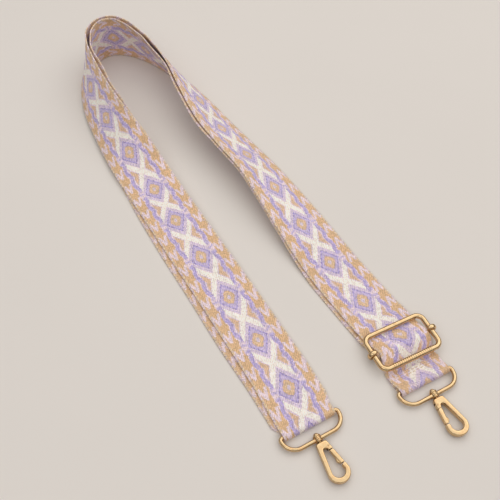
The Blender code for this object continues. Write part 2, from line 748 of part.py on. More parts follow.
def make_pin(side, axis):
    """Pin across the slot, on which the gate turns."""
    name = side + "_gate_pin"
    half = HOOK_THICK / 2 + PIN_PROUD
    mesh = z_rod_mesh(name, GATE_PIVOT_X, GATE_PIVOT_DEPTH, PIN_RADIUS, half)
    add_object(name, mesh, axis, gold_material(), 50)


def make_spring(side, axis):
    """Torsion spring round the pin, its leg behind the gate."""
    name = side + "_gate_spring"
    radius = PIN_RADIUS + GAP + SPRING_WIRE / 2
    start = TONGUE_THICK + GAP * 2 + SPRING_WIRE / 2 - SLOT_THICK / 2
    points = []
    for step in range(SPRING_TURNS * SPRING_TURN_STEPS + 1):
        turn = math.pi + math.tau * step / SPRING_TURN_STEPS
        points.append((
            GATE_PIVOT_X + radius * math.cos(turn),
            -GATE_PIVOT_DEPTH + radius * math.sin(turn),
            start + SPRING_PITCH * step / SPRING_TURN_STEPS,
        ))
    top = points[-1][2]
    for depth in (SPRING_KNEE_DEPTH, SPRING_END_DEPTH):
        points.append((inner_half_width(depth) - SPRING_WIRE / 2 - SPRING_SETBACK, -depth, top))
    mesh = wire_mesh(name, points, SPRING_WIRE / 2, False)
    add_object(name, mesh, axis, steel_material(), 60)


def make_gate(side, axis):
    """Lever that fills the open flank, with a tongue on the pin and a nub for the thumb."""
    name = side + "_gate"
    top = CHEEK_DEPTH + GATE_END_GAP
    end = NOSE_DEPTH - GATE_END_GAP
    nub_end = end - NUB_SETBACK
    nub_start = nub_end - NUB_LENGTH
    flank = (
        (outer_half_width(top), top), (outer_half_width(end), end),
        (inner_half_width(end), end), (inner_half_width(top), top),
    )
    start_x, end_x = inner_half_width(nub_start), inner_half_width(nub_end)
    nub = (
        (start_x, nub_start), (start_x - NUB_HEIGHT, nub_start + NUB_HEIGHT),
        (end_x - NUB_HEIGHT, nub_end - NUB_HEIGHT / 2), (end_x, nub_end),
        (end_x + NUB_HEIGHT, nub_end), (start_x + NUB_HEIGHT, nub_start),
    )
    shift = Matrix.Translation((-GATE_PIVOT_X, GATE_PIVOT_DEPTH, 0.0))
    lever = plate_mesh(name, flank, GATE_THICK)
    lever.transform(shift)
    gate = add_object(name, lever, axis, gold_material())
    rounded(gate, GATE_EDGE_ROUND)
    bump = plate_mesh(name + "_nub", nub, GATE_THICK / 2, -GATE_THICK / 4 + GATE_EDGE_ROUND / 2)
    bump.transform(shift)
    combine(gate, cutter(name + "_nub", bump, axis), "UNION")
    tongue_z = (TONGUE_THICK - SLOT_THICK) / 2 + GAP
    half = TONGUE_LINK_HALF_WIDTH
    outline = arc((GATE_PIVOT_X, GATE_PIVOT_DEPTH), TONGUE_RADIUS, *TONGUE_ARC_QUARTERS, ARC_STEPS)
    root_depth = top + GATE_EDGE_ROUND * 2
    outline += [(GATE_PIVOT_X + half, root_depth), (GATE_PIVOT_X - half, root_depth)]
    tongue = plate_mesh(name + "_tongue", outline, TONGUE_THICK, tongue_z)
    tongue.transform(shift)
    combine(gate, cutter(name + "_tongue", tongue, axis), "UNION")
    hole = z_rod_mesh(name + "_hole", 0.0, 0.0, PIN_RADIUS + GAP, SLOT_THICK)
    combine(gate, cutter(name + "_hole", hole, axis), "DIFFERENCE")


def make_ring_and_hook(side, root, bar_place, turn, roll):
    """One end of the strap: a ring on its bar's axis, and below it the hook on its own."""
    ring_axis = empty(side + "_ring_axis", root, (*bar_place, RING_Z), (0.0, 0.0, turn))
    make_ring(side, ring_axis)
    hook_top = -(RING_DEPTH + BOSS_LENGTH / 2 + GAP)
    hook_axis = empty(side + "_swivel_axis", ring_axis, (0.0, hook_top, 0.0), (0.0, roll, 0.0))
    make_rivet(side, hook_axis)
    make_hook(side, hook_axis)
    make_pin(side, hook_axis)
    make_spring(side, hook_axis)
    pivot = (GATE_PIVOT_X, -GATE_PIVOT_DEPTH, 0.0)
    make_gate(side, empty(side + "_gate_axis", hook_axis, pivot))


def slider_matrix():
    """Place of the slider's bar."""
    return Matrix.Translation((SLIDER_X, SLIDER_Y, BAR_Z)) @ Matrix.Rotation(SLIDER_TURN, 4, "Z")


def make_slider_bar(axis):
    """Wire bar whose ends curl up round the frame's short sides."""
    half = SLIDER_WIDTH / 2
    right = arc((half, BAR_EYE_RADIUS), BAR_EYE_RADIUS, -1, EYE_WRAP, ARC_STEPS * 2)
    points = [(-x, 0.0, z) for x, z in reversed(right)] + [(x, 0.0, z) for x, z in right]
    mesh = wire_mesh("slider_bar", points, BAR_RADIUS, False)
    add_object("slider_bar", mesh, axis, gold_material(), 50)


def make_slider_frame(axis):
    """Rounded wire rectangle with a ribbed sleeve on the bar nearest the ring."""
    half, reach, corner = SLIDER_WIDTH / 2, SLIDER_LENGTH / 2, SLIDER_CORNER
    points = []
    for quarter, (sign_x, sign_y) in enumerate(((1, 1), (-1, 1), (-1, -1), (1, -1))):
        centre = (sign_x * (half - corner), sign_y * (reach - corner))
        points += arc(centre, corner, quarter, quarter + 1, ARC_STEPS // 2 + 1)
    mesh = wire_mesh("slider_frame", [(x, y, 0.0) for x, y in points], FRAME_RADIUS, True)
    frame = add_object("slider_frame", mesh, axis, gold_material(), 50)
    sleeve = lathe_mesh("slider_sleeve", grooved_profile(
        -SLEEVE_LENGTH / 2, SLEEVE_LENGTH, SLEEVE_RADIUS, SLEEVE_RIB_HEIGHT, SLEEVE_RIB_COUNT,
        SLEEVE_LAND_SHARE
    ), SLEEVE_SIDES)
    sleeve.transform(Matrix.Translation((0.0, -reach, 0.0)) @ Matrix.Rotation(math.pi / 2, 4, "Z"))
    combine(frame, cutter("slider_sleeve", sleeve, axis), "UNION")


def make_slider(root):
    """The slider's bar on the sliding axis, and the frame that shifts along the bar's eyes."""
    axis = empty("slider_axis", root, (SLIDER_X, SLIDER_Y, BAR_Z), (0.0, 0.0, SLIDER_TURN))
    make_slider_bar(axis)
    make_slider_frame(empty("slider_frame_axis", axis, (0.0, 0.0, FRAME_Z - BAR_Z)))
    return axis


def stand_on_origin(root):
    """Move the root so that the origin is the middle of the part's base."""
    bpy.context.view_layer.update()
    graph = bpy.context.evaluated_depsgraph_get()
    low, high = np.full(3, np.inf), np.full(3, -np.inf)
    for item in bpy.data.objects:
        if item.type != "MESH" or item.hide_render:
            continue
        solid = item.evaluated_get(graph)
        places = np.array([solid.matrix_world @ corner.co for corner in solid.data.vertices])
        low, high = np.minimum(low, places.min(axis=0)), np.maximum(high, places.max(axis=0))
    root.location = (-(low[0] + high[0]) / 2, -(low[1] + high[1]) / 2, -low[2])
    bpy.context.view_layer.update()


def main():
    clear_scene()
    root = empty("strap_root")
    slider_axis = make_slider(root)
    make_webbing(root, slider_axis)
    make_stitching(root)
    make_ring_and_hook("left", root, (LEFT_BAR_X, LEFT_BAR_Y), LEFT_TURN, 0.0)
    make_ring_and_hook("right", root, (RIGHT_BAR_X, RIGHT_BAR_Y), RIGHT_TURN, math.pi)
    stand_on_origin(root)


main()
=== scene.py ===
"""Woven bag strap with swivel hooks and a slider, dressed for rendering."""
import math

import bmesh
import bpy
import numpy as np
from bpy.props import FloatProperty, FloatVectorProperty, IntProperty, PointerProperty
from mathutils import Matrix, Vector

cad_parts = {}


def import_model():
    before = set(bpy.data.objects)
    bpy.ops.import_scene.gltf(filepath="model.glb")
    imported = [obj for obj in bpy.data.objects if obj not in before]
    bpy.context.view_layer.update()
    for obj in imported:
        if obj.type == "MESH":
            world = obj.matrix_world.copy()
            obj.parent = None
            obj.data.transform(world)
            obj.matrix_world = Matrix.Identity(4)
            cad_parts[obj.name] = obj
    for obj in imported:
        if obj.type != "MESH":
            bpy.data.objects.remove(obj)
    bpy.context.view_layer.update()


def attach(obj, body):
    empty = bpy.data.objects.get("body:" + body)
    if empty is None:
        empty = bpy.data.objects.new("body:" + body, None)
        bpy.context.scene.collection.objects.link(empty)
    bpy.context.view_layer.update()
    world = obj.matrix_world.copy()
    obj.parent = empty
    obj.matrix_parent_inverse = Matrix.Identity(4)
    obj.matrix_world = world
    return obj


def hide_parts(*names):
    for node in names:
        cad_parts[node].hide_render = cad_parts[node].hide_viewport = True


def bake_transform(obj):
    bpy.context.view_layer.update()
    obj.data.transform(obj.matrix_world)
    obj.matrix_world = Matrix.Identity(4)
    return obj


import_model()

bl_info = {
    "name": "Woven bag strap",
    "version": (1, 0, 0),
    "blender": (4, 5, 0),
    "location": "3D View > Sidebar > Bag strap",
    "description": "Jacquard strap with a slider, two rings and two swivel hooks",
    "category": "Mesh",
}

MM = 0.001

# Layout place of the world's origin, mm: the layout has the left ring's bar near x -50, y 4
ORIGIN = np.array((-4.841, -218.164, 0.049))

# Webbing, mm
WIDTH = 50.0
HALF_THICK = 0.7
LAYER_PITCH = 1.7
UNDER_Z, OUTER_Z, STACK_Z = 0.7, 2.4, 4.1
STATION = 3.5
COLUMNS = 22
EDGE_POINTS = 3

# Layout of the strap, mm and radians, as the solids have it
LEG_HALF_SPREAD = 49.0
BEND_REACH = 498.5
BEND_LAYER_GAP = 2.9
LEFT_SLIP, RIGHT_SLIP = 7.0, 3.0
LEFT_BAR, LEFT_TURN = (-50.0, 4.2), math.radians(-1.0)
RIGHT_BAR, RIGHT_TURN = (50.8, -11.6), math.radians(-2.0)
RING_Z = 3.45
FOLD_WIDTH, LEFT_FOLD_SHARE = 47.4, 0.98
FOLD_EASE, FOLD_TAIL, LOOP_JOIN = 11.0, 15.0, 20.0
RING_LOOP_RADIUS, SLIP_START, SLIP_END = 2.75, 4.5, 13.0
LOOP_STEPS, CURVE_STEPS, FOLD_CUT_Z = 14, 16, 0.75
RIPPLE_SHARE, RIPPLE_REACH, SLOW_RIPPLE_REACH, SLOW_RIPPLE_SHARE = 0.22, 9.0, 15.0, 0.7
SLIDER, SLIDER_TURN, LEG_LEAN = (55.3, 24.3), math.radians(-4.0), math.radians(3.3)
BAR_Z, FRAME_Z, CREST_Z = 3.5, 7.4, 7.5
BAR_LOOP_RADIUS = 2.3
CREST_WIDTH, LEAN_EASE = 49.8, 26.0
CREST_NARROW, CREST_SLIP = 1.6, 5.2
CREST_SLIP_ABOVE, CREST_SLIP_BELOW, RING_SLIP_SHARE = 30.0, 20.0, 0.40
CREST_FRONT_EASE, CREST_BACK_EASE = 15.0, 10.5
BAR_FOLD_EASE, BAR_FOLD_TAIL, CROSSING_END = 8.0, 26.0, 24.0
OUTER_DROP, ADJUST_END, WIDTH_EASE = 9.0, 88.0, 18.0

# Where the webbing is cut between bodies, mm
LEG_CUT_Y = 300.0
CREST_CUT = 16.2
TRAVEL_START_Y, CROSSING_FLOW_Y = 52.0, (-10.8, 8.8)
FRONT_STATIONS, BACK_STATIONS = 54, 5

# Added to places on the other leg, so that none of them is the closest, mm
OTHER_LEG = 1000

# Route of the outer layer: X share, Y share, tilt share, extra gap share, slip share
ROUTE_SHARES = np.array((
    (-0.968, 0.050, 0.00, 0.0, -0.58), (-0.948, 0.110, 0.00, 0.0, -0.72),
    (-0.952, 0.200, 0.00, 0.0, -0.92), (-0.970, 0.310, 0.01, 0.0, -0.80),
    (-1.000, 0.420, 0.03, 0.0, -0.70), (-1.025, 0.520, 0.05, 0.0, -0.45),
    (-1.050, 0.600, 0.10, 0.1, -0.10), (-1.100, 0.674, 0.30, 0.5, 0.00),
    (-1.145, 0.750, 0.51, 0.9, 0.00), (-1.110, 0.831, 0.62, 1.1, 0.00),
    (-0.970, 0.909, 0.76, 1.1, 0.00), (-0.815, 0.948, 0.87, 1.0, 0.00),
    (-0.600, 0.980, 0.96, 1.0, 0.00), (-0.250, 1.000, 1.00, 1.0, 0.00),
    (0.115, 0.993, 1.00, 1.0, 0.00), (0.370, 0.964, 0.93, 1.0, 0.00),
    (0.520, 0.925, 0.86, 0.9, 0.00), (0.645, 0.888, 0.80, 0.8, 0.00),
    (0.785, 0.811, 0.66, 0.6, 0.20), (0.812, 0.731, 0.50, 0.4, 0.50),
    (0.825, 0.653, 0.38, 0.3, 0.60), (0.900, 0.575, 0.33, 0.2, 0.30),
    (0.980, 0.497, 0.30, 0.1, 0.10), (1.004, 0.419, 0.21, 0.0, 0.10),
    (1.010, 0.340, 0.11, 0.0, 0.30), (1.016, 0.275, 0.03, 0.0, 0.70),
))

# Pattern of the webbing along the left leg, mm
FIRST_DIAMOND_Y, LAST_DIAMOND_Y, DIAMOND_COUNT = 38.7, 74.4, 19
INNER_TIP, OUTER_TIP = 83.6, 76.9

# Shifts of the pattern: over the slider, where it is sewn, and on the layer under the left leg, mm
CREST_SHIFT, FOLD_SHIFT = 7.5, 1.0
UNDER_SHIFT, UNDER_EASE = 20.0, 150.0

# The weave's repeat isn't even: place along the strip and how far the pattern lies beyond it, mm
WEAVE_DRIFT = np.array((
    (-700.0, 0.0), (-620.0, 7.0), (-568.0, 5.7), (-555.0, 3.3), (-540.0, 1.7), (-526.0, 0.0),
    (20.0, -0.8), (45.0, -0.8), (60.0, 0.2), (142.0, 0.5), (172.0, 1.7), (215.0, 2.4), (242.0, 2.0),
    (266.0, -1.6), (279.0, -2.6), (294.0, -2.5), (309.0, -1.0), (338.0, -0.5), (400.0, 0.0),
    (590.0, 0.0), (645.0, 8.4), (671.0, 7.4), (700.0, 7.8), (710.0, 5.7), (737.0, 2.7),
    (760.0, 0.0), (795.0, -2.8), (813.0, -1.2), (868.0, -1.2), (902.0, -2.4), (930.0, -2.3),
    (945.0, -3.1), (972.0, -2.5), (990.0, -0.5), (1006.0, 0.0),
))

# How far the motif runs ahead along the strip for each unit across it
WEAVE_SKEW = 0.155

# Motifs of the weave: slopes to the length, and places from the middle line, mm
DIAMOND_SLOPE, CORE_SLOPE, CORE_NORM = 1.45, 1.35, 1.3
X_SLOPE, X_HALF_WIDTH = 0.63, 3.7
SWING_START, SWING_DEPTH, SWING_REACH = 11.8, 3.4, 8.7
VEE_STEP, VEE_MIDDLE, VEE_SLOPE = 0.4, 20.6, 0.30
BAND_START, BORDER_START, SELVEDGE_START = 10.9, 16.2, 23.9

# Stitches of the weave: how far each row lies behind the last, and their scatter, in stitches
ROW_LAG, STITCH_SCATTER = 0.36, 0.5

# Depths of the fine reliefs, mm
WEAVE_RELIEF, METAL_RELIEF, THREAD_RELIEF = 0.22, 0.22, 0.05

# Rings, mm
RING_RADIUS, RING_DEPTH, RING_INNER_WIDTH = 1.75, 13.9, 48.4
RING_BAR_CORNER, RING_BASE_CORNER = 2.2, 11.5
BOSS_RADIUS, BOSS_LENGTH, BOSS_GROOVE, BOSS_BORE = 3.2, 6.0, 0.5, 1.4
RIVET_RADIUS, RIVET_HEAD_RADIUS, RIVET_HEAD_HEIGHT, RIVET_GRIP = 1.1, 2.2, 1.8, 2.4
FIT = 0.3
RING_STEP, BOSS_OVERLAP, BOSS_SOFT, BOSS_GAP = 0.8, 0.9, 0.22, 0.45

# Hooks, mm: a depth runs from the hook's top to its end
HOOK_TOP = -(RING_DEPTH + BOSS_LENGTH / 2 + FIT)
HOOK_POWER, HOOK_TOP_POWER, GATE_POWER, NUB_POWER, TONGUE_POWER = 4.6, 9, 4.2, 2.6, 6.0
HOOK_HALF_THICK, HOOK_TOP_HALF_WIDTH = 2.5, 4.7
CAST_DOME, LEVER_DOME, TONGUE_DOME, TIP_SHARE, TIP_POWER = 0.3, 0.25, 1.0, 0.12, 0.7
HOOK_END_RADIUS, HOOK_END_DEPTH = 8.9, 25.7
EYE_END_RADIUS, EYE_END_DEPTH = 5.2, 25.0
EYE_TOP_RADIUS, EYE_TOP_DEPTH = 1.9, 7.9
NOSE_DEPTH, NOSE_SLANT, CHEEK_DEPTH = 21.6, 0.9, 8.4
GATE_PIVOT = (3.8, 5.2)
GATE_HALF_THICK, GATE_END_GAP = 2.2, 0.4
PIN_RADIUS, PIN_HALF_LENGTH = 0.65, 2.6
SLOT_HALF_THICK, SLOT_INNER_X, SLOT_REACH, SLOT_DEPTH = 1.7, 1.4, 1.6, 3.2
BORE_PLAY, TONGUE_PLAY, OVERCUT = 0.1, 0.12, 2.0
HOOK_BORE_REACH, TONGUE_BORE_REACH = 4.0, 3.0
NUB_START, NUB_END, NUB_HEIGHT, NUB_ROOT, NUB_HALF_THICK = 4.8, 0.6, 1.3, 1.2, 1.45
NUB_EDGE, NUB_SWELL_POWER = 0.12, 0.7
TONGUE_Z, TONGUE_HALF_THICK, TONGUE_HALVES = -0.85, 0.55, (1.5, 1.35, 1.0)
TONGUE_TIP, TONGUE_ROOT = 0.4, 1.2
SPRING_WIRE, SPRING_TURNS, SPRING_PITCH, SPRING_START = 0.15, 2, 0.5, 0.15
SPRING_DEPTHS, SPRING_REST, DOME_STEPS = (8.8, 11.1), 0.2, 5

# Slider, mm
SLIDER_WIDTH, SLIDER_LENGTH, SLIDER_CORNER = 56.2, 32.5, 6.0
FRAME_RADIUS, BAR_RADIUS, EYE_WRAP, BAND_SPREAD = 2.3, 1.3, 1.35, 0.6
FRAME_STEP, BAR_STEP = 0.9, 0.5
SLEEVE_RADIUS, SLEEVE_LENGTH, SLEEVE_RIBS, SLEEVE_SINK = 2.7, 38.0, 20, 0.2
RIB_DEPTH, RIB_POWER = 0.24, 0.6
SEAM_X, SEAM_HALF_LENGTH, SEAM_HEIGHT, SEAM_SINK = 2.0, 0.55, 0.16, 0.02

# Sewing on the right ring's fold, mm
STITCH_GAP, STITCH_MARGIN, SEAM_INSET, SEAM_PITCH = 1.2, 3.5, 2.0, 2.2
STITCH_SWAY, STITCH_SINK, STITCH_ARCH = 0.06, 0.02, 0.7

# Angles over which a piece's edges stay sharp, degrees
CAST_ANGLE, GATE_ANGLE, METAL_ANGLE, SOFT_ANGLE = 35.0, 40.0, 50.0, 60.0

# Studio: floor and camera, m, mm of layout and degrees, each lamp's place, target, width, power
# and tint, in m and W, and the sky's levels from below to above
FLOOR_REACH, FLOOR_ROWS = 6.0, 5
LENS, SENSOR, CLIP_START = 50.53, 36.0, 0.01
CAMERA_PLACE, CAMERA_TURN = (-195.0, -156.0, 524.3), (36.0, 0.0, -30.0)
LAMPS = {
    "key_lamp": ((1.0, 0.35, 2.3), (0.0, -0.02, 0.0), 4.0, 46.0, (1.0, 0.98, 0.95)),
    "fill_lamp": ((-0.9, -0.6, 1.5), (0.0, 0.0, 0.0), 0.8, 2.0, (0.96, 0.97, 1.0)),
}
SKY_STOPS = ((0.0, 0.10), (0.30, 0.10), (0.55, 0.60), (0.72, 1.0), (0.86, 0.50), (1.0, 0.20))


def linear(red, green, blue):
    """Linear colour of one that is written in 0 to 255 screen values."""
    share = np.array((red, green, blue)) / 255
    return tuple(np.where(share < 0.04045, share / 12.92, ((share + 0.055) / 1.055) ** 2.4))


def colour_property(name, description, *screen):
    """A colour that a user may change, given in 0 to 255 screen values."""
    return FloatVectorProperty(
        name=name, description=description, subtype="COLOR", size=3, min=0.0, max=1.0,
        default=linear(*screen),
    )


def length_property(name, description, default, low, high):
    """A length that a user may change, given in mm."""
    return FloatProperty(
        name=name, description=description, default=default * MM, min=low * MM, max=high * MM,
        unit="LENGTH", precision=5,
    )


class StrapSizes(bpy.types.PropertyGroup):
    """Sizes of the strap's finish."""
    thread_across: length_property("Thread width", "Width of one woven stitch", 0.8, 0.3, 2)
    thread_along: length_property("Stitch length", "Length of one woven stitch", 1.25, 0.3, 4)
    seam_stitch: length_property("Seam stitch", "Length of one sewn stitch", 2.6, 1, 5)
    seam_thread: length_property("Seam thread", "Thickness of the sewing thread", 0.5, 0.2, 1)
    tube_sides: IntProperty(
        name="Wire sides", description="Points round a wire's section", default=28, min=12, max=64,
    )


class StrapColours(bpy.types.PropertyGroup):
    """Colours of the strap."""
    border: colour_property("Border gold", "Gold yarn of the border", 231, 192, 150)
    lavender: colour_property("Lavender", "Lavender yarn", 194, 178, 226)
    lavender_dark: colour_property("Dark lavender", "Stitches round the diamonds", 146, 126, 190)
    ivory: colour_property("Ivory", "Ivory yarn of the X's", 255, 247, 238)
    lilac: colour_property("Pale lilac", "Pale lilac yarn round the diamonds", 230, 212, 228)
    pink: colour_property("Pale pink", "Pale pink yarn of the V's", 243, 222, 230)
    selvedge: colour_property("Selvedge", "Cream yarn of the two edges", 232, 204, 168)
    metal: colour_property("Metal", "Pale gold plating", 219, 190, 146)
    steel: colour_property("Steel", "Spring wire", 196, 194, 190)
    thread: colour_property("Sewing thread", "Thread of the seams", 222, 192, 150)
    floor: colour_property("Floor", "Floor under the strap", 226, 220, 214)


def sizes():
    return bpy.context.scene.strap_sizes


def colours():
    return bpy.context.scene.strap_colours


class Field:
    """A number worked out at each point by a material's Math nodes."""

    def __init__(self, shades, socket):
        self.shades = shades
        self.socket = socket

    def join(self, operation, *others, clamp=False):
        inputs = enumerate((self, *others))
        node = self.shades.node("ShaderNodeMath", inputs, operation=operation, use_clamp=clamp)
        return Field(self.shades, node.outputs[0])

    def __add__(self, other):
        return self.join("ADD", other)

    def __sub__(self, other):
        return self.join("SUBTRACT", other)

    def __mul__(self, other):
        return self.join("MULTIPLY", other)

    def size(self):
        """Distance from zero."""
        return self.join("ABSOLUTE")

    def floor(self):
        return self.join("FLOOR")

    def wrap(self, period):
        """Remainder from 0 to the period."""
        return self.join("FLOORED_MODULO", period)

    def bounce(self, reach):
        """Zigzag from 0 to the reach and back."""
        return self.join("PINGPONG", reach)

    def wave(self):
        return self.join("SINE")

    def above(self, edge, soft=0.3):
        """1 where the number is over the edge, 0 under it, eased over a soft width."""
        return (self - edge).join("MULTIPLY_ADD", 1 / soft, 0.5, clamp=True)

    def below(self, edge, soft=0.3):
        return (self - edge).join("MULTIPLY_ADD", -1 / soft, 0.5, clamp=True)

    def line(self, place, half):
        """1 where the number is within a half width of a place."""
        return (self - place).size().below(half)


class Shades:
    """A material whose colour is laid in layers over its Principled shader."""

    def __init__(self, name):
        self.material = bpy.data.materials.new(name)
        self.material.use_nodes = True
        self.tree = self.material.node_tree
        self.shader = self.tree.nodes["Principled BSDF"]

    def feed(self, socket, value):
        """Link a field or another node's output to a socket, or set its number or colour."""
        value = value.socket if isinstance(value, Field) else value
        if isinstance(value, bpy.types.NodeSocket):
            self.tree.links.new(value, socket)
        else:
            socket.default_value = (*value, 1.0) if socket.type == "RGBA" else value

    def node(self, kind, inputs=(), **settings):
        """A new node with its settings made and its inputs fed."""
        made = self.tree.nodes.new(kind)
        for key, value in settings.items():
            setattr(made, key, value)
        for key, value in dict(inputs).items():
            self.feed(made.inputs[key], value)
        return made

    def attribute(self, name):
        return Field(self, self.node("ShaderNodeAttribute", attribute_name=name).outputs["Fac"])

    def layer(self, under, colour, amount, blend="MIX"):
        """Lay a colour, or another layer, over one."""
        inputs = {6: under, 7: colour, 0: amount}
        return self.node("ShaderNodeMix", inputs, data_type="RGBA", blend_type=blend).outputs[2]

    def layers(self, start, *pairs):
        """A starting colour, with each pair's colour laid over it by the pair's amount."""
        under = self.node("ShaderNodeRGB").outputs[0]
        under.default_value = (*start, 1.0)
        for colour, amount in pairs:
            under = self.layer(under, colour, amount)
        return under

    def scatter(self, *fields):
        """An even random number from 0 to 1 for each whole-number place."""
        place = {"Vector": self.node("ShaderNodeCombineXYZ", enumerate(fields)).outputs[0]}
        noise = self.node("ShaderNodeTexWhiteNoise", place, noise_dimensions="3D")
        return Field(self, noise.outputs["Value"])

    def cloud(self, scale, detail=3.0, stretch=(1.0, 1.0, 1.0)):
        """Soft noise over the object, scale in lumps to the metre."""
        place = self.node("ShaderNodeTexCoord").outputs["Object"]
        mapped = self.node("ShaderNodeMapping", {"Vector": place, "Scale": stretch}).outputs[0]
        inputs = {"Vector": mapped, "Scale": scale, "Detail": detail}
        return Field(self, self.node("ShaderNodeTexNoise", inputs).outputs["Fac"])

    def relief(self, field, depth):
        """Raise the surface by a field, depth in mm."""
        inputs = {"Height": field, "Strength": 1.0, "Distance": depth * MM}
        self.feed(self.shader.inputs["Normal"], self.node("ShaderNodeBump", inputs).outputs[0])

    def set(self, **values):
        """Feed the shader's sockets, each named with _ for a space."""
        for name, value in values.items():
            self.feed(self.shader.inputs[name.replace("_", " ")], value)


def pattern_layers(shades, across, along, period, random):
    """Colours of the jacquard at a place of the strip, mm.

    Away is the distance from the middle line. Near is the distance along the skewed strip to the
    closest diamond, far its distance to the closest X. A diamond's rings are steps of near plus
    DIAMOND_SLOPE away, but its rounded core is a step of the CORE_NORM of near and CORE_SLOPE away.
    The triangles beside the X are steps of away less X_SLOPE far, and the borders' V's are lines
    where a place's distance from the border's middle is VEE_SLOPE of the way past the V's tip.
    """
    c = colours()
    away = across.size()
    skewed = along - across * WEAVE_SKEW - FIRST_DIAMOND_Y + period / 2
    near = (skewed.wrap(period) - period / 2).size()
    far = near * -1.0 + period / 2
    ring = near + away * DIAMOND_SLOPE
    powers = near.join("POWER", CORE_NORM) + (away * CORE_SLOPE).join("POWER", CORE_NORM)
    core = powers.join("POWER", 1 / CORE_NORM)
    tick = (near - away * DIAMOND_SLOPE).wrap(2.2).below(1.0)
    beside = away - far * X_SLOPE - X_HALF_WIDTH
    centre = shades.layers(
        c.ivory, (c.lilac, ring.below(20.9, 0.6)), (c.lavender, ring.line(18.2, 0.5) * 0.4),
        (c.lavender, ring.below(15.4)), (c.lilac, ring.below(12.8, 1.0) * 0.5),
        (c.lavender_dark, ring.line(14.5, 0.75) * tick * 0.75),
        (c.lavender_dark, core.line(7.9, 0.45) * 0.4), (c.border, core.below(7.6)),
        (c.ivory, core.below(6.6, 1.5) * 0.15), (c.lilac, core.below(2.6)),
        (c.lilac, beside.above(0.0)), (c.border, beside.above(1.1) * 0.85),
        (c.lilac, beside.above(5.6)),
    )

    rough = (random - 0.5) * 0.9
    lean = ((skewed - 2.0).wrap(period) - period / 2).size()
    swing = (lean - 7.5).bounce(SWING_REACH) * (SWING_DEPTH / SWING_REACH) + SWING_START
    strength = lean.above(4.5, 3.0)
    offset = away - swing + rough
    mottle = random.wrap(0.25).above(0.05, 0.1) * 0.7 + 0.3
    streak = (near - away * 0.35 + rough).line(-1.5, 1.2) * near.below(7.0)
    band = shades.layers(
        c.pink, (c.lavender, offset.line(0.0, 2.1) * strength * mottle),
        (c.lavender_dark, offset.line(-0.9, 0.5) * strength * 0.3),
        (c.border, (away - swing - 2.9).above(0.0) * strength), (c.lavender, streak * 0.7),
    )

    step = period * VEE_STEP
    side = across.above(0.0, 0.01)
    past = (along - side * (INNER_TIP - OUTER_TIP) - OUTER_TIP).wrap(step)
    past = past - past.above(step - 1.0, 0.01) * step
    spread = (away - VEE_MIDDLE).size() - past * VEE_SLOPE
    edge = shades.layers(c.border, (c.pink, spread.line(0.0, 1.3) * past.below(11.0)))
    patch = (along + side * 8.0).wrap(step).below(7.0) * 0.7
    uneven = along + random
    cream = shades.layers(
        c.selvedge, (c.lilac, patch), (c.lavender_dark, uneven.wrap(5.2).below(1.6) * 0.28),
        (c.ivory, uneven.wrap(3.7).below(1.4) * 0.22),
    )
    inside = shades.layer(centre, band, away.above(BAND_START, 0.6))
    whole = shades.layer(inside, edge, away.above(BORDER_START, 0.5))
    return shades.layer(whole, cream, away.above(SELVEDGE_START, 0.5))


def webbing_material(period):
    """Jacquard: colours snapped to stitches, each a little lighter or darker, in raised rows with
    painted shade between them.
    """
    shades = Shades("jacquard_webbing")
    s = sizes()
    wide, long = s.thread_across / MM, s.thread_along / MM
    across, along = shades.attribute("strap_across"), shades.attribute("strap_along")
    row = (across * (1 / wide)).floor()
    shift = row * ROW_LAG
    stitch_place = along * (1 / long) + shift
    stitch = stitch_place.floor()
    random = shades.scatter(row, stitch)
    stitch_across = (row + 0.5) * wide + (random - 0.5) * STITCH_SCATTER
    stitch_along = (stitch - shift + 0.5) * long
    motif = pattern_layers(shades, stitch_across, stitch_along, period, random)

    ridge = (across * (math.pi / wide)).wave().size()
    length_wave = (stitch_place * math.pi).wave().size()
    height = ridge.join("POWER", 0.6) * length_wave.join("POWER", 0.5)
    fuzz = shades.cloud(900.0, 4.0)
    patch = shades.cloud(45.0, 2.0)
    turnabout = (stitch + row).wrap(2.0)
    # Painted shade: each stitch's crown is painted lighter and the grooves between stitches darker
    # by its height; the rest is each stitch's own tone, soft patches of tone and the weave's
    # alternate stitches
    light = height * 0.28 + random * 0.36 + fuzz * 0.18 + patch * 0.12 - turnabout * 0.14 + 0.60
    tone_and_groove_shade = shades.node("ShaderNodeCombineColor", enumerate((light, light, light)))
    woven = shades.layer(motif, tone_and_groove_shade.outputs[0], 1.0, "MULTIPLY")
    # The back face, which shows on the under layer, is mixed a little towards a dull tan: partly
    # its own duller colour, partly painted shade
    muted_back_and_shade = shades.layer(woven, linear(196, 168, 150), 0.12)
    shades.set(
        Base_Color=shades.layer(woven, muted_back_and_shade, shades.attribute("strap_back")),
        Roughness=random * 0.1 + 0.72, Sheen_Weight=0.25, Sheen_Roughness=0.5,
        Specular_IOR_Level=0.25,
    )
    shades.relief(height + fuzz * 0.35 + random * 0.25, WEAVE_RELIEF)
    return shades.material


def metal_material():
    """Pale gold plating: polished, with a faint cast unevenness and fine scuffs."""
    shades = Shades("pale_gold_plating")
    cloud = shades.cloud(260.0)
    fine = shades.cloud(2600.0, 2.0, (1.0, 0.35, 1.0))
    darker = (linear(220, 162, 104), cloud.above(0.62, 0.35) * 0.5)
    shades.set(
        Base_Color=shades.layers(colours().metal, darker), Metallic=1.0,
        Roughness=cloud * 0.10 + fine * 0.08 + 0.05,
    )
    shades.relief(cloud + fine * 0.06, METAL_RELIEF)
    return shades.material


def steel_material():
    """Drawn spring wire."""
    shades = Shades("spring_wire")
    cloud = shades.cloud(1500.0, stretch=(1.0, 1.0, 0.2))
    shades.set(
        Base_Color=shades.layers(colours().steel, (linear(150, 146, 142), cloud)), Metallic=1.0,
        Roughness=cloud * 0.2 + 0.25,
    )
    return shades.material


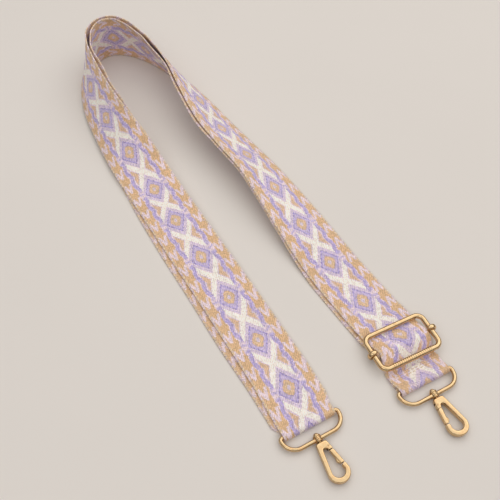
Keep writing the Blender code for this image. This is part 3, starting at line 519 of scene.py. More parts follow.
def thread_material():
    """Twisted sewing thread."""
    shades = Shades("sewing_thread")
    cloud = shades.cloud(4000.0, 2.0)
    darker = (linear(176, 140, 100), cloud * 0.6)
    shades.set(Base_Color=shades.layers(colours().thread, darker), Roughness=0.65)
    shades.relief(cloud, THREAD_RELIEF)
    return shades.material


def floor_material():
    """Matt pale floor with a faint cloud in its colour."""
    shades = Shades("studio_floor")
    darker = (linear(220, 214, 208), shades.cloud(6.0) * 0.5)
    shades.set(
        Base_Color=shades.layers(colours().floor, darker), Roughness=0.9, Specular_IOR_Level=0.1
    )
    return shades.material


# Material of each slot: its name and what makes it
FINISHES = {
    "webbing": ("jacquard_webbing", webbing_material),
    "thread": ("sewing_thread", thread_material),
    "pale_gold": ("pale_gold_plating", metal_material),
    "spring_steel": ("spring_wire", steel_material),
}


def unit(vectors):
    return vectors / np.linalg.norm(vectors, axis=-1, keepdims=True)


def ease(amount):
    """Raised cosine from 0 to 1."""
    return (1 - np.cos(np.pi * np.clip(amount, 0, 1))) / 2


def travelled(points):
    """Distance along points from the first of them."""
    return np.append(0, np.cumsum(np.linalg.norm(np.diff(points, axis=0), axis=1)))


def reread(rows, gone, count, endpoint=True):
    """Rows read again at a count of even steps of the distance gone."""
    even = np.linspace(0, gone[-1], count, endpoint=endpoint)
    return np.column_stack([np.interp(even, gone, column) for column in rows.T])


def shell(points, loop=False):
    """Points and faces of a grid: rows follow a path, columns go round a closed section."""
    rows, columns = points.shape[:2]
    index = np.arange(rows * columns).reshape(rows, columns)
    here = index if loop else index[:-1]
    ahead = np.roll(index, -1, axis=0) if loop else index[1:]
    quads = np.stack((here, np.roll(here, -1, 1), np.roll(ahead, -1, 1), ahead), axis=-1)
    faces = quads.reshape(-1, 4).tolist()
    if not loop:
        faces += [index[0][::-1].tolist(), index[-1].tolist()]
    return points.reshape(-1, 3), faces


def make_mesh(name, shells, angle=45.0, values=None):
    """One mesh object from shells in layout mm, faces outwards, with values at each point."""
    places, faces, count = [], [], 0
    for points, rows in shells:
        places.append(points)
        faces += [[corner + count for corner in row] for row in rows]
        count += len(points)
    places = (np.concatenate(places) + ORIGIN) * MM
    mesh = bpy.data.meshes.new(name)
    mesh.from_pydata(places.tolist(), [], faces)
    for key, numbers in (values or {}).items():
        layer = mesh.attributes.new(key, "FLOAT", "POINT")
        layer.data.foreach_set("value", np.ascontiguousarray(numbers, dtype=np.float32))
    shape = bmesh.new()
    shape.from_mesh(mesh)
    bmesh.ops.recalc_face_normals(shape, faces=shape.faces)
    shape.to_mesh(mesh)
    shape.free()
    mesh.shade_smooth()
    mesh.set_sharp_from_angle(angle=math.radians(angle))
    piece = bpy.data.objects.new(name, mesh)
    bpy.context.scene.collection.objects.link(piece)
    return piece


def finish_piece(piece, slot, body, *nodes, values=()):
    """Give a piece its slot's material, let it ride on a body, and stand for CAD nodes.

    The body is a name, or a flow of two bodies and two places, which is not used: the piece then
    stays where it is built.
    Values go to what makes the material, the first time.
    """
    name, maker = FINISHES[slot]
    piece.data.materials.clear()
    piece.data.materials.append(bpy.data.materials.get(name) or maker(*values))
    if isinstance(body, str):
        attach(piece, body)
    else:
        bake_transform(piece)
    if nodes:
        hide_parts(*nodes)


def smooth_rows(rows, step):
    """Catmull-Rom curve through the rows, read again at even steps of its plan length."""
    padded = np.vstack((2 * rows[0] - rows[1], rows, 2 * rows[-1] - rows[-2]))
    before, start, end, after = padded[:-3], padded[1:-2], padded[2:-1], padded[3:]
    share = np.linspace(0, 1, CURVE_STEPS, endpoint=False)[:, None, None]
    curve = 0.5 * (
        2 * start + (end - before) * share + (2 * before - 5 * start + 4 * end - after) * share**2
        + (3 * start - before - 3 * end + after) * share**3
    )
    curve = np.vstack((curve.transpose(1, 0, 2).reshape(-1, rows.shape[1]), rows[-1:]))
    gone = travelled(curve[:, :2])
    return reread(curve, gone, int(round(gone[-1] / step)) + 1)


def leg_place(along, across=0.0):
    """Plan place beside the slider, along the leg's lean."""
    lean_cos, lean_sin = math.cos(LEG_LEAN), math.sin(LEG_LEAN)
    return np.stack((
        SLIDER[0] - lean_sin * np.asarray(along) + lean_cos * across,
        SLIDER[1] + lean_cos * np.asarray(along) + lean_sin * across,
    ), axis=-1)


def level(turn):
    """Lateral direction towards -X for a turn about Z."""
    turn = np.asarray(turn, dtype=float)
    return np.stack((-np.cos(turn), -np.sin(turn), np.zeros_like(turn)), axis=-1)


def leg_laterals(along):
    """Laterals beside the slider: its own turn at its bar, eased to the leg's lean."""
    return level(SLIDER_TURN + (LEG_LEAN - SLIDER_TURN) * ease(np.abs(along) / LEAN_EASE))


def laid_route(under):
    """Middles and laterals of one layer, left ring to adjusting stretch: tilt turns it on edge."""
    scale = np.array((LEG_HALF_SPREAD, BEND_REACH, math.pi / 2, BEND_LAYER_GAP, 1.0))
    rows = ROUTE_SHARES * scale
    rows[:, 4] *= np.where(rows[:, 4] < 0, LEFT_SLIP, RIGHT_SLIP)
    rows = np.vstack((rows, (*leg_place(ADJUST_END), 0.0, 0.0, RIGHT_SLIP)))
    rows = smooth_rows(rows, STATION)
    plan, tilt, extra, slip = rows[:, :2], rows[:, 2:3], rows[:, 3:4], rows[:, 4:5]
    heading = np.gradient(plan, axis=0)
    heading[0] = (0.0, 1.0)
    heading[-1] = leg_place(ADJUST_END) - leg_place(ADJUST_END + 1.0)
    heading = unit(heading)
    inward = np.column_stack((heading[:, 1], -heading[:, 0], np.zeros(len(rows))))
    laterals = inward * np.cos(tilt) + np.array((0.0, 0.0, 1.0)) * np.sin(tilt)
    outer = np.hstack((plan, OUTER_Z * np.cos(tilt) + WIDTH / 2 * np.sin(tilt)))
    normals = unit(np.cross(laterals, unit(np.gradient(outer, axis=0))))
    gone = travelled(plan)[:, None]
    slow = SLOW_RIPPLE_SHARE * np.sin(gone / SLOW_RIPPLE_REACH + 1.0)
    uneven = RIPPLE_SHARE * extra * (np.sin(gone / RIPPLE_REACH) + slow)
    inner = outer - normals * (LAYER_PITCH + extra + uneven) + laterals * (slip + 0.5 * uneven)
    lowest = inner[:, 2] - WIDTH / 2 * laterals[:, 2] - HALF_THICK * normals[:, 2]
    middles = inner if under else outer
    middles[:, 2] -= np.minimum(lowest, 0.0)
    return middles, laterals, np.full(len(rows), WIDTH)


def loop_profile(bar_z, radius, top_z, bottom_z, spread, top_reach, bottom_reach):
    """Side view of webbing turned round a bar at 0, from below to above: along and height."""
    below = np.linspace(bottom_reach, 0, LOOP_STEPS, endpoint=False)
    above = np.linspace(0, top_reach, LOOP_STEPS + 1)[1:]
    turn = np.linspace(-np.pi / 2, -3 * np.pi / 2, LOOP_STEPS + 4)
    along = np.concatenate((below, radius * np.cos(turn), above))
    low = bottom_z + (bar_z - radius - bottom_z) * (1 - ease(below / spread))
    high = top_z + (bar_z + radius - top_z) * (1 - ease(above / spread))
    return along, np.concatenate((low, bar_z + radius * np.sin(turn), high))


def ring_loop(bar, turn, far_turn, reach, fold_width, join_x, slip, inward):
    """Webbing round a ring's bar, drawn in from its full width at the join.

    Its under layer, which comes first, runs straight from the bar before it slips sideways.
    """
    along, height = loop_profile(
        RING_Z, RING_LOOP_RADIUS, OUTER_Z, UNDER_Z, FOLD_EASE, reach, reach
    )
    share = ease(along / LOOP_JOIN)
    below = np.arange(len(along)) < LOOP_STEPS
    slipped = slip * ease((along - SLIP_START) / (SLIP_END - SLIP_START)) * below
    turns = far_turn + (turn - far_turn) * (1 - ease(along / reach))
    middles = np.column_stack((
        bar[0] + (join_x - bar[0]) * share + slipped - along * np.sin(turns),
        bar[1] + along * np.cos(turns), height,
    ))
    return middles, -inward * level(turns), fold_width + (WIDTH - fold_width) * share


def crossing(start, end, count):
    """Webbing from the ring's fold over the slider's bar: a hump, longer in front than behind."""
    fold_end = RIGHT_BAR[1] + FOLD_TAIL + FIT - SLIDER[1]
    along = np.linspace(start, end, count)
    front = UNDER_Z + (CREST_Z - UNDER_Z) * (1 - ease(-along / CREST_FRONT_EASE))
    back = STACK_Z + (CREST_Z - STACK_Z) * (1 - ease(along / CREST_BACK_EASE))
    height = np.where(along < 0, front, back)
    blend = ease((along - fold_end) / -fold_end)[:, None]
    from_ring = SLIDER[1] + along - RIGHT_BAR[1]
    straight = np.column_stack((
        RIGHT_BAR[0] - from_ring * math.sin(RIGHT_TURN), SLIDER[1] + along
    ))
    plan = straight * (1 - blend) + leg_place(along) * blend
    turn = RIGHT_TURN + (SLIDER_TURN - RIGHT_TURN) * blend[:, 0]
    laterals = np.where(along[:, None] < 0, level(turn), leg_laterals(along))
    joined = ease(np.minimum(along - fold_end, 0.0) / LOOP_JOIN + FOLD_TAIL / LOOP_JOIN)
    entry = FOLD_WIDTH + (WIDTH - FOLD_WIDTH) * joined
    away = np.where(along < 0, along / fold_end, along / CROSSING_END)
    widths = CREST_WIDTH + (np.where(along < 0, entry, WIDTH) - CREST_WIDTH) * ease(away)
    drawn_in = CREST_NARROW * (1 - ease(away))
    middles = np.column_stack((plan, height)) - laterals * drawn_in[:, None] / 2
    return middles, laterals, widths - drawn_in


def adjusting(under, start):
    """The flat stretch that the slider travels along, from the slider to the laid route."""
    along = np.arange(start, ADJUST_END - STATION / 2, STATION)
    slip = RIGHT_SLIP * under * np.ones(len(along))
    drop = ease((along - BAR_FOLD_TAIL - FIT) / OUTER_DROP)
    height = np.full(len(along), UNDER_Z) if under else STACK_Z + (OUTER_Z - STACK_Z) * drop
    narrow = CREST_WIDTH if under else WIDTH
    widths = narrow + (WIDTH - narrow) * ease((along - start) / WIDTH_EASE)
    return np.column_stack((leg_place(along, -slip), height)), leg_laterals(along), widths


def bar_fold():
    """The strap's other end, sewn round the slider's bar, from below to above."""
    along, height = loop_profile(
        BAR_Z, BAR_LOOP_RADIUS, OUTER_Z, UNDER_Z, BAR_FOLD_EASE, BAR_FOLD_TAIL - FIT, BAR_FOLD_TAIL
    )
    turn = (along < 0) * SLIDER_TURN + (along >= 0) * LEG_LEAN
    middles = np.column_stack((
        SLIDER[0] - along * np.sin(turn), SLIDER[1] + along * np.cos(turn), height
    ))
    laterals = leg_laterals(np.maximum(along, 0))
    slip = RIGHT_SLIP * ease((along - BAR_FOLD_EASE) / (BAR_FOLD_TAIL - 2 * BAR_FOLD_EASE))
    return middles + laterals * slip[:, None], laterals, np.full(len(along), CREST_WIDTH)


def chain(*routes):
    """Join routes end to end."""
    return tuple(np.concatenate(parts) for parts in zip(*routes))


def backwards(route):
    return tuple(part[::-1] for part in route)


def part_of(route, start, end):
    return tuple(part[start:end] for part in route)


def route_length(route):
    """Distance along a route's middles from its first station."""
    return travelled(route[0])


def drifted(along):
    """Places along the strip less the weave's drift, read between the places of its table."""
    return along - np.interp(along, *WEAVE_DRIFT.T)


def strap_routes():
    """The whole strip from its sewn end at the right ring to its other end at the slider.

    Returns each stretch's route, with its places along the strip, which run down to 0 near the left
    ring and below 0 on the under layer, and the length of one repeat of the pattern.
    """
    outer, under = laid_route(False), laid_route(True)
    middle = len(outer[0]) // 2
    cut = middle + int(np.argmax(outer[0][middle:, 1] < LEG_CUT_Y))
    join_x, join_y = ROUTE_SHARES[0, :2] * (LEG_HALF_SPREAD, BEND_REACH)
    loop = ring_loop(
        LEFT_BAR, LEFT_TURN, 0.0, join_y - LEFT_BAR[1], FOLD_WIDTH * LEFT_FOLD_SHARE, join_x,
        ROUTE_SHARES[0, 4] * LEFT_SLIP, 1
    )
    main = chain(backwards(part_of(outer, 1, cut + 1)), backwards(loop), part_of(under, 1, cut + 1))
    leg = chain(
        crossing(CREST_CUT, CROSSING_END - 1.0, BACK_STATIONS), adjusting(False, CROSSING_END),
        backwards(part_of(outer, cut, None))
    )
    fold = backwards(ring_loop(
        RIGHT_BAR, RIGHT_TURN, RIGHT_TURN, FOLD_TAIL, FOLD_WIDTH, RIGHT_BAR[0], 0.0, -1
    ))
    bottom = int(np.argmax(fold[0][:, 2] < FOLD_CUT_Z))
    fold = part_of(fold, 0, bottom + 2)
    fold_end = fold[0][-1, 1] - SLIDER[1]
    front = crossing(fold_end, CREST_CUT, FRONT_STATIONS)
    tail = chain(
        part_of(under, cut, None), backwards(adjusting(True, BAR_FOLD_TAIL + 0.5)), bar_fold()
    )

    base = route_length(main)
    x, y, _ = main[0][:len(base) // 2].T
    first = int(np.argmin(np.abs(y - FIRST_DIAMOND_Y) + OTHER_LEG * (x > 0)))
    main_along = base[first] + y[first] - base
    main_along = main_along - UNDER_SHIFT * ease(-main_along / UNDER_EASE)
    tail_along = main_along[-1] - route_length(tail)

    ahead = main_along[0]
    alongs = []
    for route in (leg, front, fold):
        gone = route_length(route)
        alongs.append(ahead + gone[-1] - gone)
        ahead = alongs[-1][0]
    leg_along, front_along, fold_along = alongs
    leg_y = leg[0][:, 1]
    near = int(np.argmin(np.abs(leg_y - LAST_DIAMOND_Y)))
    period = (leg_along[near] - FIRST_DIAMOND_Y) / DIAMOND_COUNT
    rising = LAST_DIAMOND_Y - SLIDER[1] - CREST_CUT
    leg_along = leg_along + CREST_SHIFT * ease((LAST_DIAMOND_Y - leg_y) / rising)
    hidden = ease((SLIDER[1] - front[0][:, 1]) / -fold_end)
    front_along = front_along + CREST_SHIFT + FOLD_SHIFT * hidden
    fold_along = fold_along + CREST_SHIFT + FOLD_SHIFT
    return {
        "main": (main, drifted(main_along)), "leg": (leg, drifted(leg_along)),
        "front": (front, drifted(front_along)), "fold": (fold, drifted(fold_along)),
        "tail": (tail, drifted(tail_along)),
    }, period


def strip_section():
    """Across and up of the webbing's section in shares of its half width and half thickness.

    Two flat faces are joined by half-round edges, so that the good face comes first.
    """
    across = np.linspace(1, -1, COLUMNS + 1)
    turn = np.linspace(np.pi / 2, -np.pi / 2, EDGE_POINTS + 2)[1:-1]
    face, edge = np.ones(COLUMNS + 1), np.ones(EDGE_POINTS)
    share = np.concatenate((across, -edge, -across, edge))
    rise = np.concatenate((face, np.sin(turn), -face, -np.sin(turn)))
    bulge = np.concatenate((0 * face, -np.cos(turn), 0 * face, np.cos(turn)))
    return share, rise, bulge


def crest_nearness(middles):
    """1 over the slider's bar, eased to 0 above it, to a share at the ring, 0 on the left leg."""
    along = middles[:, 1] - SLIDER[1]
    above = 1 - ease(along / CREST_SLIP_ABOVE)
    below = RING_SLIP_SHARE + (1 - RING_SLIP_SHARE) * (1 - ease(-along / CREST_SLIP_BELOW))
    return np.where(middles[:, 0] > 0, np.where(along > 0, above, below), 0.0)


def make_strip(name, route, along):
    """Carry the webbing's section along a route, its good face up where the route runs to +Y.

    The pattern slips sideways near the slider's bar, and by nothing at the section's left edge.
    """
    middles, laterals, widths = route
    goods = unit(np.cross(unit(np.gradient(middles, axis=0)), laterals))
    share, rise, bulge = strip_section()
    across = share * (widths[:, None] / 2 - HALF_THICK) + bulge * HALF_THICK
    points = (
        middles[:, None] + laterals[:, None] * across[..., None]
        + goods[:, None] * (rise * HALF_THICK)[None, :, None]
    )
    slip = CREST_SLIP * crest_nearness(middles)[:, None] * (1 - ((share + 1) / 2) ** 2)
    values = {
        "strap_across": (slip + (share + bulge * 0.02) * WIDTH / 2).ravel(),
        "strap_along": np.repeat(along, len(share)),
        "strap_back": np.tile(rise < 0, len(middles)).astype(float),
    }
    return make_mesh(name, [shell(points)], SOFT_ANGLE, values)


def world(x, y, z=0.0):
    """World place of a layout place, m."""
    return tuple(float(number) for number in (np.array((x, y, z)) + ORIGIN) * MM)


def add_webbing(name, key, held, rests_on, body, *nodes):
    """One stretch of the strap as a sheet, which rides on a body, or stays where it is built when
    given a flow.
    """
    routes, period = strap_routes()
    route, along = routes[key]
    piece = make_strip(name, route, along)
    finish_piece(piece, "webbing", body, *nodes, values=(period,))
    length = float(route_length(route)[-1]) * MM


def arc(centre, radius, start, end, steps):
    """Points of a plane arc between two angles in quarter turns."""
    turn = np.linspace(start, end, steps + 1) * np.pi / 2
    return np.column_stack((centre[0] + radius * np.cos(turn), centre[1] + radius * np.sin(turn)))


def even_path(points, step, closed=False):
    """A plane path without its doubled points, read again at even steps."""
    points = np.vstack((points, points[:1])) if closed else points
    gone = travelled(points)
    keep = np.append(True, np.diff(gone) > 1e-6)
    return reread(points[keep], gone[keep], int(gone[-1] / step) + 1, not closed)


def wire(path, radius, binormal, closed=False):
    """A round wire along a space path that lies in one plane with the given normal."""
    if closed:
        tangents = unit(np.roll(path, -1, axis=0) - np.roll(path, 1, axis=0))
    else:
        tangents = unit(np.gradient(path, axis=0))
    binormal = np.array(binormal, dtype=float)
    sides = np.cross(binormal, tangents)
    turn = np.linspace(0, 2 * np.pi, sizes().tube_sides, endpoint=False)
    radii = np.broadcast_to(radius, len(path))[:, None, None]
    circle = sides[:, None] * np.cos(turn)[None, :, None] + binormal * np.sin(turn)[None, :, None]
    return path[:, None] + circle * radii


def rounded_wire(path, radius, binormal):
    """An open wire with domed ends: its radius falls as a quarter circle over their stations."""
    turn = np.linspace(0, np.pi / 2, DOME_STEPS + 1)[1:]
    lead, shrink = np.sin(turn)[:, None] * radius, np.maximum(np.cos(turn), 0.05)
    head = path[0] + unit(path[0] - path[1]) * lead
    foot = path[-1] + unit(path[-1] - path[-2]) * lead
    radii = radius * np.concatenate((shrink[::-1], np.ones(len(path)), shrink))
    return shell(wire(np.vstack((head[::-1], path, foot)), radii, binormal))


def turned(profile, sides=40, closed=False):
    """A profile of places along -Y and radii, turned about the Y axis."""
    profile = np.asarray(profile, dtype=float)
    turn = np.linspace(0, 2 * np.pi, sides, endpoint=False)
    place, radius = profile[:, :1], np.maximum(profile[:, 1:], 0.02)
    points = np.stack((
        radius * np.cos(turn), np.broadcast_to(-place, (len(profile), sides)), radius * np.sin(turn)
    ), axis=-1)
    return shell(points, closed)


def reordered(item, axes, shift):
    """A shell with its axes taken in another order, then moved."""
    points, faces = item
    return points[:, axes] + np.array(shift), faces


def placed(item, place, turn, roll=0.0):
    """Roll a shell about Y, turn it about Z and move it to its layout place."""
    points, faces = item
    x, y, z = points.T
    x, z = x * math.cos(roll) + z * math.sin(roll), z * math.cos(roll) - x * math.sin(roll)
    x, y = x * math.cos(turn) - y * math.sin(turn), x * math.sin(turn) + y * math.cos(turn)
    return np.column_stack((x, y, z)) + np.array(place), faces


def ring_end(side):
    """Bar's place, turn and hook's roll of one end."""
    if side == "left":
        return (*LEFT_BAR, RING_Z), LEFT_TURN, 0.0
    return (*RIGHT_BAR, RING_Z), RIGHT_TURN, math.pi


def at_hook(item, side):
    """Put a hook's shell at its end of the strap."""
    place, turn, roll = ring_end(side)
    return placed(placed(item, (0.0, HOOK_TOP, 0.0), 0.0, roll), place, turn)


def carve(piece, side, *shapes):
    """Cut shells at a hook out of a piece."""
    tools = [make_mesh("cutting_tool", [at_hook(shape, side)]) for shape in shapes]
    for tool in tools:
        step = piece.modifiers.new("cut", "BOOLEAN")
        step.operation, step.solver, step.object = "DIFFERENCE", "EXACT", tool
    graph = bpy.context.evaluated_depsgraph_get()
    graph.update()
    cut = bpy.data.meshes.new_from_object(piece.evaluated_get(graph))
    piece.modifiers.clear()
    piece.data = cut
    cut.set_sharp_from_angle(angle=math.radians(CAST_ANGLE))
    for tool in tools:
        bpy.data.objects.remove(tool, do_unlink=True)


def make_ring(side):
    """Ring of round wire in a flat D, with a grooved barrel in its base."""
    half = RING_INNER_WIDTH / 2 + RING_RADIUS
    low, high, depth = RING_BASE_CORNER, RING_BAR_CORNER, RING_DEPTH
    joint = BOSS_RADIUS - BOSS_OVERLAP
    path = even_path(np.vstack((
        ((-joint, -depth), (-half + low, -depth)),
        arc((-half + low, -depth + low), low, -1, -2, 20),
        arc((-half + high, -high), high, 2, 1, 8),
        arc((half - high, -high), high, 1, 0, 8),
        arc((half - low, -depth + low), low, 0, -1, 20),
        ((half - low, -depth), (joint, -depth)),
    )), RING_STEP)
    ring = shell(wire(np.column_stack((path, np.zeros(len(path)))), RING_RADIUS, (0, 0, 1)))
    start, land, soft = depth - BOSS_LENGTH / 2, BOSS_LENGTH / 5, BOSS_SOFT
    full, floor, edge = BOSS_RADIUS, BOSS_RADIUS - BOSS_GROOVE, BOSS_RADIUS - soft
    profile = [(start, BOSS_BORE), (start, edge), (start + soft, full)]
    for here in (start + land, start + land * 3):
        profile += [
            (here - soft, full), (here, edge), (here + soft, floor),
            (here + land - soft, floor), (here + land, edge), (here + land + soft, full),
        ]
    end = start + BOSS_LENGTH - BOSS_GAP
    profile += [(end - soft, full), (end, edge), (end, BOSS_BORE)]
    place, turn, _ = ring_end(side)
    shells = [placed(item, place, turn) for item in (ring, turned(profile, 44, True))]
    piece = make_mesh(side + "_ring_wire", shells, METAL_ANGLE)
    finish_piece(piece, "pale_gold", side + "_ring_body", side + "_ring")


def make_rivet(side):
    """Domed rivet: a quarter-circle head over a plain shank."""
    under = -(FIT + BOSS_LENGTH + FIT)
    turn = np.linspace(0, np.pi / 2, 9)
    dome = np.column_stack((
        under - RIVET_HEAD_HEIGHT * np.cos(turn), RIVET_HEAD_RADIUS * np.sin(turn)
    ))
    shank = ((under, RIVET_RADIUS), (RIVET_GRIP, RIVET_RADIUS), (RIVET_GRIP, 0.0))
    rivet = at_hook(turned(np.vstack((dome, shank))), side)
    piece = make_mesh(side + "_rivet", [rivet], METAL_ANGLE)
    finish_piece(piece, "pale_gold", side + "_hook", side + "_swivel_rivet")


def outer_half(depth):
    """Half width of the hook's flank."""
    return HOOK_TOP_HALF_WIDTH + (HOOK_END_RADIUS - HOOK_TOP_HALF_WIDTH) * depth / HOOK_END_DEPTH


def inner_half(depth):
    """Half width of the hook's eye."""
    share = (depth - EYE_TOP_DEPTH) / (EYE_END_DEPTH - EYE_TOP_DEPTH)
    return EYE_TOP_RADIUS + (EYE_END_RADIUS - EYE_TOP_RADIUS) * share


def soft_sweep(inner, outer, half_thick, power, sides=40, dome=CAST_DOME):
    """Carry a superellipse between an inner and an outer outline, both in X and depth.

    At each station the section spans the two outlines and twice the half thickness. The stations at
    the two ends repeat with falling sizes, so that the ends are domed.
    """
    steps = np.linspace(0, np.pi / 2, 6)[1:]
    middle, reach = (inner + outer) / 2, (outer - inner) / 2
    first, last = unit(middle[0] - middle[1]), unit(middle[-1] - middle[-2])
    lead, shrink = dome * (np.sin(steps) - 1)[:, None], np.cos(steps) ** TIP_POWER
    shrink[-1] = TIP_SHARE
    centres = np.vstack(((middle[0] + first * lead)[::-1], middle[1:-1], middle[-1] + last * lead))
    reaches = np.vstack((
        (reach[0] * shrink[:, None])[::-1], reach[1:-1], reach[-1] * shrink[:, None]
    ))
    ups = half_thick * np.concatenate((shrink[::-1], np.ones(len(middle) - 2), shrink))
    turn = np.linspace(0, 2 * np.pi, sides, endpoint=False)
    out, rise = (
        np.sign(side) * np.abs(side) ** (2 / power) for side in (np.cos(turn), np.sin(turn))
    )
    flat = centres[:, None] + reaches[:, None] * out[None, :, None]
    return shell(np.dstack((flat[..., 0], -flat[..., 1], ups[:, None] * rise)))


def hook_outlines():
    """Inner and outer outline of the hook from its cheek over the top and round to its nose."""
    sweep = np.linspace(0, -np.pi, 30)
    ray = np.column_stack((np.cos(sweep), np.sin(sweep)))
    wide, power, centre = outer_half(EYE_TOP_DEPTH), HOOK_TOP_POWER, np.array((0, EYE_TOP_DEPTH))
    reach = (np.abs(ray / (wide, EYE_TOP_DEPTH)) ** power).sum(axis=1) ** (-1 / power)
    top_inner = centre + ray * EYE_TOP_RADIUS
    top_outer = centre + ray * reach[:, None]
    top_outer[:, 0] *= outer_half(top_outer[:, 1]) / wide
    flank = np.linspace(EYE_TOP_DEPTH, EYE_END_DEPTH, 26)[1:-1]
    nose = np.linspace(EYE_END_DEPTH, NOSE_DEPTH, 6)[1:]
    return (
        np.vstack((
            (EYE_TOP_RADIUS, CHEEK_DEPTH - 0.1), top_inner,
            np.column_stack((-inner_half(flank), flank)),
            arc((0, EYE_END_DEPTH), EYE_END_RADIUS, 2, 0, 36),
            np.column_stack((inner_half(nose), nose + NOSE_SLANT)),
        )),
        np.vstack((
            (outer_half(CHEEK_DEPTH), CHEEK_DEPTH), top_outer,
            np.column_stack((-outer_half(flank), flank)),
            arc((0, HOOK_END_DEPTH), HOOK_END_RADIUS, 2, 0, 36),
            np.column_stack((outer_half(nose), nose)),
        )),
    )


def block(low, high):
    """A closed box between two corners, for cutting."""
    (x0, y0, z0), (x1, y1, z1) = low, high
    rings = [[(x0, y0, z), (x1, y0, z), (x1, y1, z), (x0, y1, z)] for z in (z0, z1)]
    return shell(np.array(rings, dtype=float))


def pin_rod(radius, half_length):
    """A rod on the gate's pivot with softened ends."""
    soft = radius * 0.25
    profile = (
        (-half_length, 0.0), (-half_length, radius - soft), (-half_length + soft, radius),
        (half_length - soft, radius), (half_length, radius - soft), (half_length, 0.0),
    )
    return reordered(turned(profile, 32), (0, 2, 1), (GATE_PIVOT[0], -GATE_PIVOT[1], 0.0))


def make_hook(side):
    """Cast hook body with a slot for the gate's tongue and bores for its pin and rivet."""
    casting = at_hook(soft_sweep(*hook_outlines(), HOOK_HALF_THICK, HOOK_POWER), side)
    piece = make_mesh(side + "_hook_casting", [casting], CAST_ANGLE)
    slot = block((SLOT_INNER_X, -CHEEK_DEPTH - OVERCUT, -SLOT_HALF_THICK),
                 (GATE_PIVOT[0] + SLOT_REACH, -SLOT_DEPTH, SLOT_HALF_THICK))
    radius, depth = RIVET_RADIUS + BORE_PLAY, RIVET_GRIP + BORE_PLAY
    grip = turned(((-OVERCUT, 0.0), (-OVERCUT, radius), (depth, radius), (depth, 0.0)))
    bore = pin_rod(PIN_RADIUS + BORE_PLAY, HOOK_BORE_REACH)
    carve(piece, side, slot, bore, grip)
    finish_piece(piece, "pale_gold", side + "_hook", side + "_hook_body")


def make_gate(side):
    """Gate: a soft-edged lever with a smooth thumb nub, and a thin tongue on the pin."""
    top, end = CHEEK_DEPTH + GATE_END_GAP, NOSE_DEPTH - GATE_END_GAP
    depth = np.linspace(top, end, 30)
    inner = np.column_stack((inner_half(depth), depth))
    outer = np.column_stack((outer_half(depth), depth))
    lever = soft_sweep(inner, outer, GATE_HALF_THICK, GATE_POWER, dome=LEVER_DOME)
    depth = np.linspace(end - NUB_START, end - NUB_END, 24)
    rise = np.sin(np.linspace(NUB_EDGE, np.pi - NUB_EDGE, 24))
    swell = NUB_HEIGHT * rise ** NUB_SWELL_POWER
    inner = np.column_stack((inner_half(depth) - swell, depth))
    outer = np.column_stack((inner_half(depth) + NUB_ROOT, depth))
    nub = soft_sweep(inner, outer, NUB_HALF_THICK, NUB_POWER, 24)
    pivot_x, pivot = GATE_PIVOT
    depth = np.linspace(pivot - TONGUE_TIP, top + TONGUE_ROOT, 12)
    half = np.interp(depth, (pivot - TONGUE_TIP, pivot + TONGUE_ROOT, top), TONGUE_HALVES)
    inner = np.column_stack((pivot_x - half, depth))
    outer = np.column_stack((pivot_x + half, depth))
    tongue = soft_sweep(inner, outer, TONGUE_HALF_THICK, TONGUE_POWER, 24, dome=TONGUE_DOME)
    tongue = reordered(tongue, (0, 1, 2), (0.0, 0.0, TONGUE_Z))
    shells = [at_hook(item, side) for item in (lever, nub)]
    lever_piece = make_mesh(side + "_gate_lever_piece", shells, GATE_ANGLE)
    tongue_piece = make_mesh(side + "_gate_tongue", [at_hook(tongue, side)], GATE_ANGLE)
    carve(tongue_piece, side, pin_rod(PIN_RADIUS + TONGUE_PLAY, TONGUE_BORE_REACH))
    finish_piece(lever_piece, "pale_gold", side + "_gate_lever", side + "_gate")
    finish_piece(tongue_piece, "pale_gold", side + "_gate_lever")


def make_pin(side):
    """Pin of the gate."""
    rod = at_hook(pin_rod(PIN_RADIUS, PIN_HALF_LENGTH), side)
    piece = make_mesh(side + "_pin", [rod], METAL_ANGLE)
    finish_piece(piece, "pale_gold", side + "_hook", side + "_gate_pin")


def hook_place(side, x, depth):
    """World place of a point in a hook's plane."""
    points, _ = at_hook((np.array(((x, -depth, 0.0),)), None), side)
    return world(*points[0])


def make_spring(side):
    """Torsion spring: a helix of wire round the pin, then a straight leg behind the gate."""
    share = np.linspace(0, 1, 18 * SPRING_TURNS + 1)
    turn = np.pi + 2 * np.pi * SPRING_TURNS * share
    radius = PIN_RADIUS + FIT + SPRING_WIRE
    coil = np.column_stack((
        GATE_PIVOT[0] + radius * np.cos(turn), -GATE_PIVOT[1] + radius * np.sin(turn),
        SPRING_START + SPRING_PITCH * SPRING_TURNS * share,
    ))
    knee, end = (
        np.array((inner_half(depth) - SPRING_WIRE - SPRING_REST, -depth, coil[-1, 2]))
        for depth in SPRING_DEPTHS
    )
    path = np.vstack((coil, np.linspace(coil[-1], knee, 8)[1:], np.linspace(knee, end, 6)[1:]))
    spring = at_hook(rounded_wire(path, SPRING_WIRE, (0, 0, 1)), side)
    piece = make_mesh(side + "_spring", [spring], SOFT_ANGLE)
    start = hook_place(side, GATE_PIVOT[0], GATE_PIVOT[1] + radius)
    end = hook_place(side, GATE_PIVOT[0], SPRING_DEPTHS[0])
    flow = (side + "_hook", side + "_gate_lever", start, end)
    finish_piece(piece, "spring_steel", flow, side + "_gate_spring")


def at_slider(item, height):
    """Put a slider's shell at its place on the right leg."""
    return placed(item, (*SLIDER, height), SLIDER_TURN)


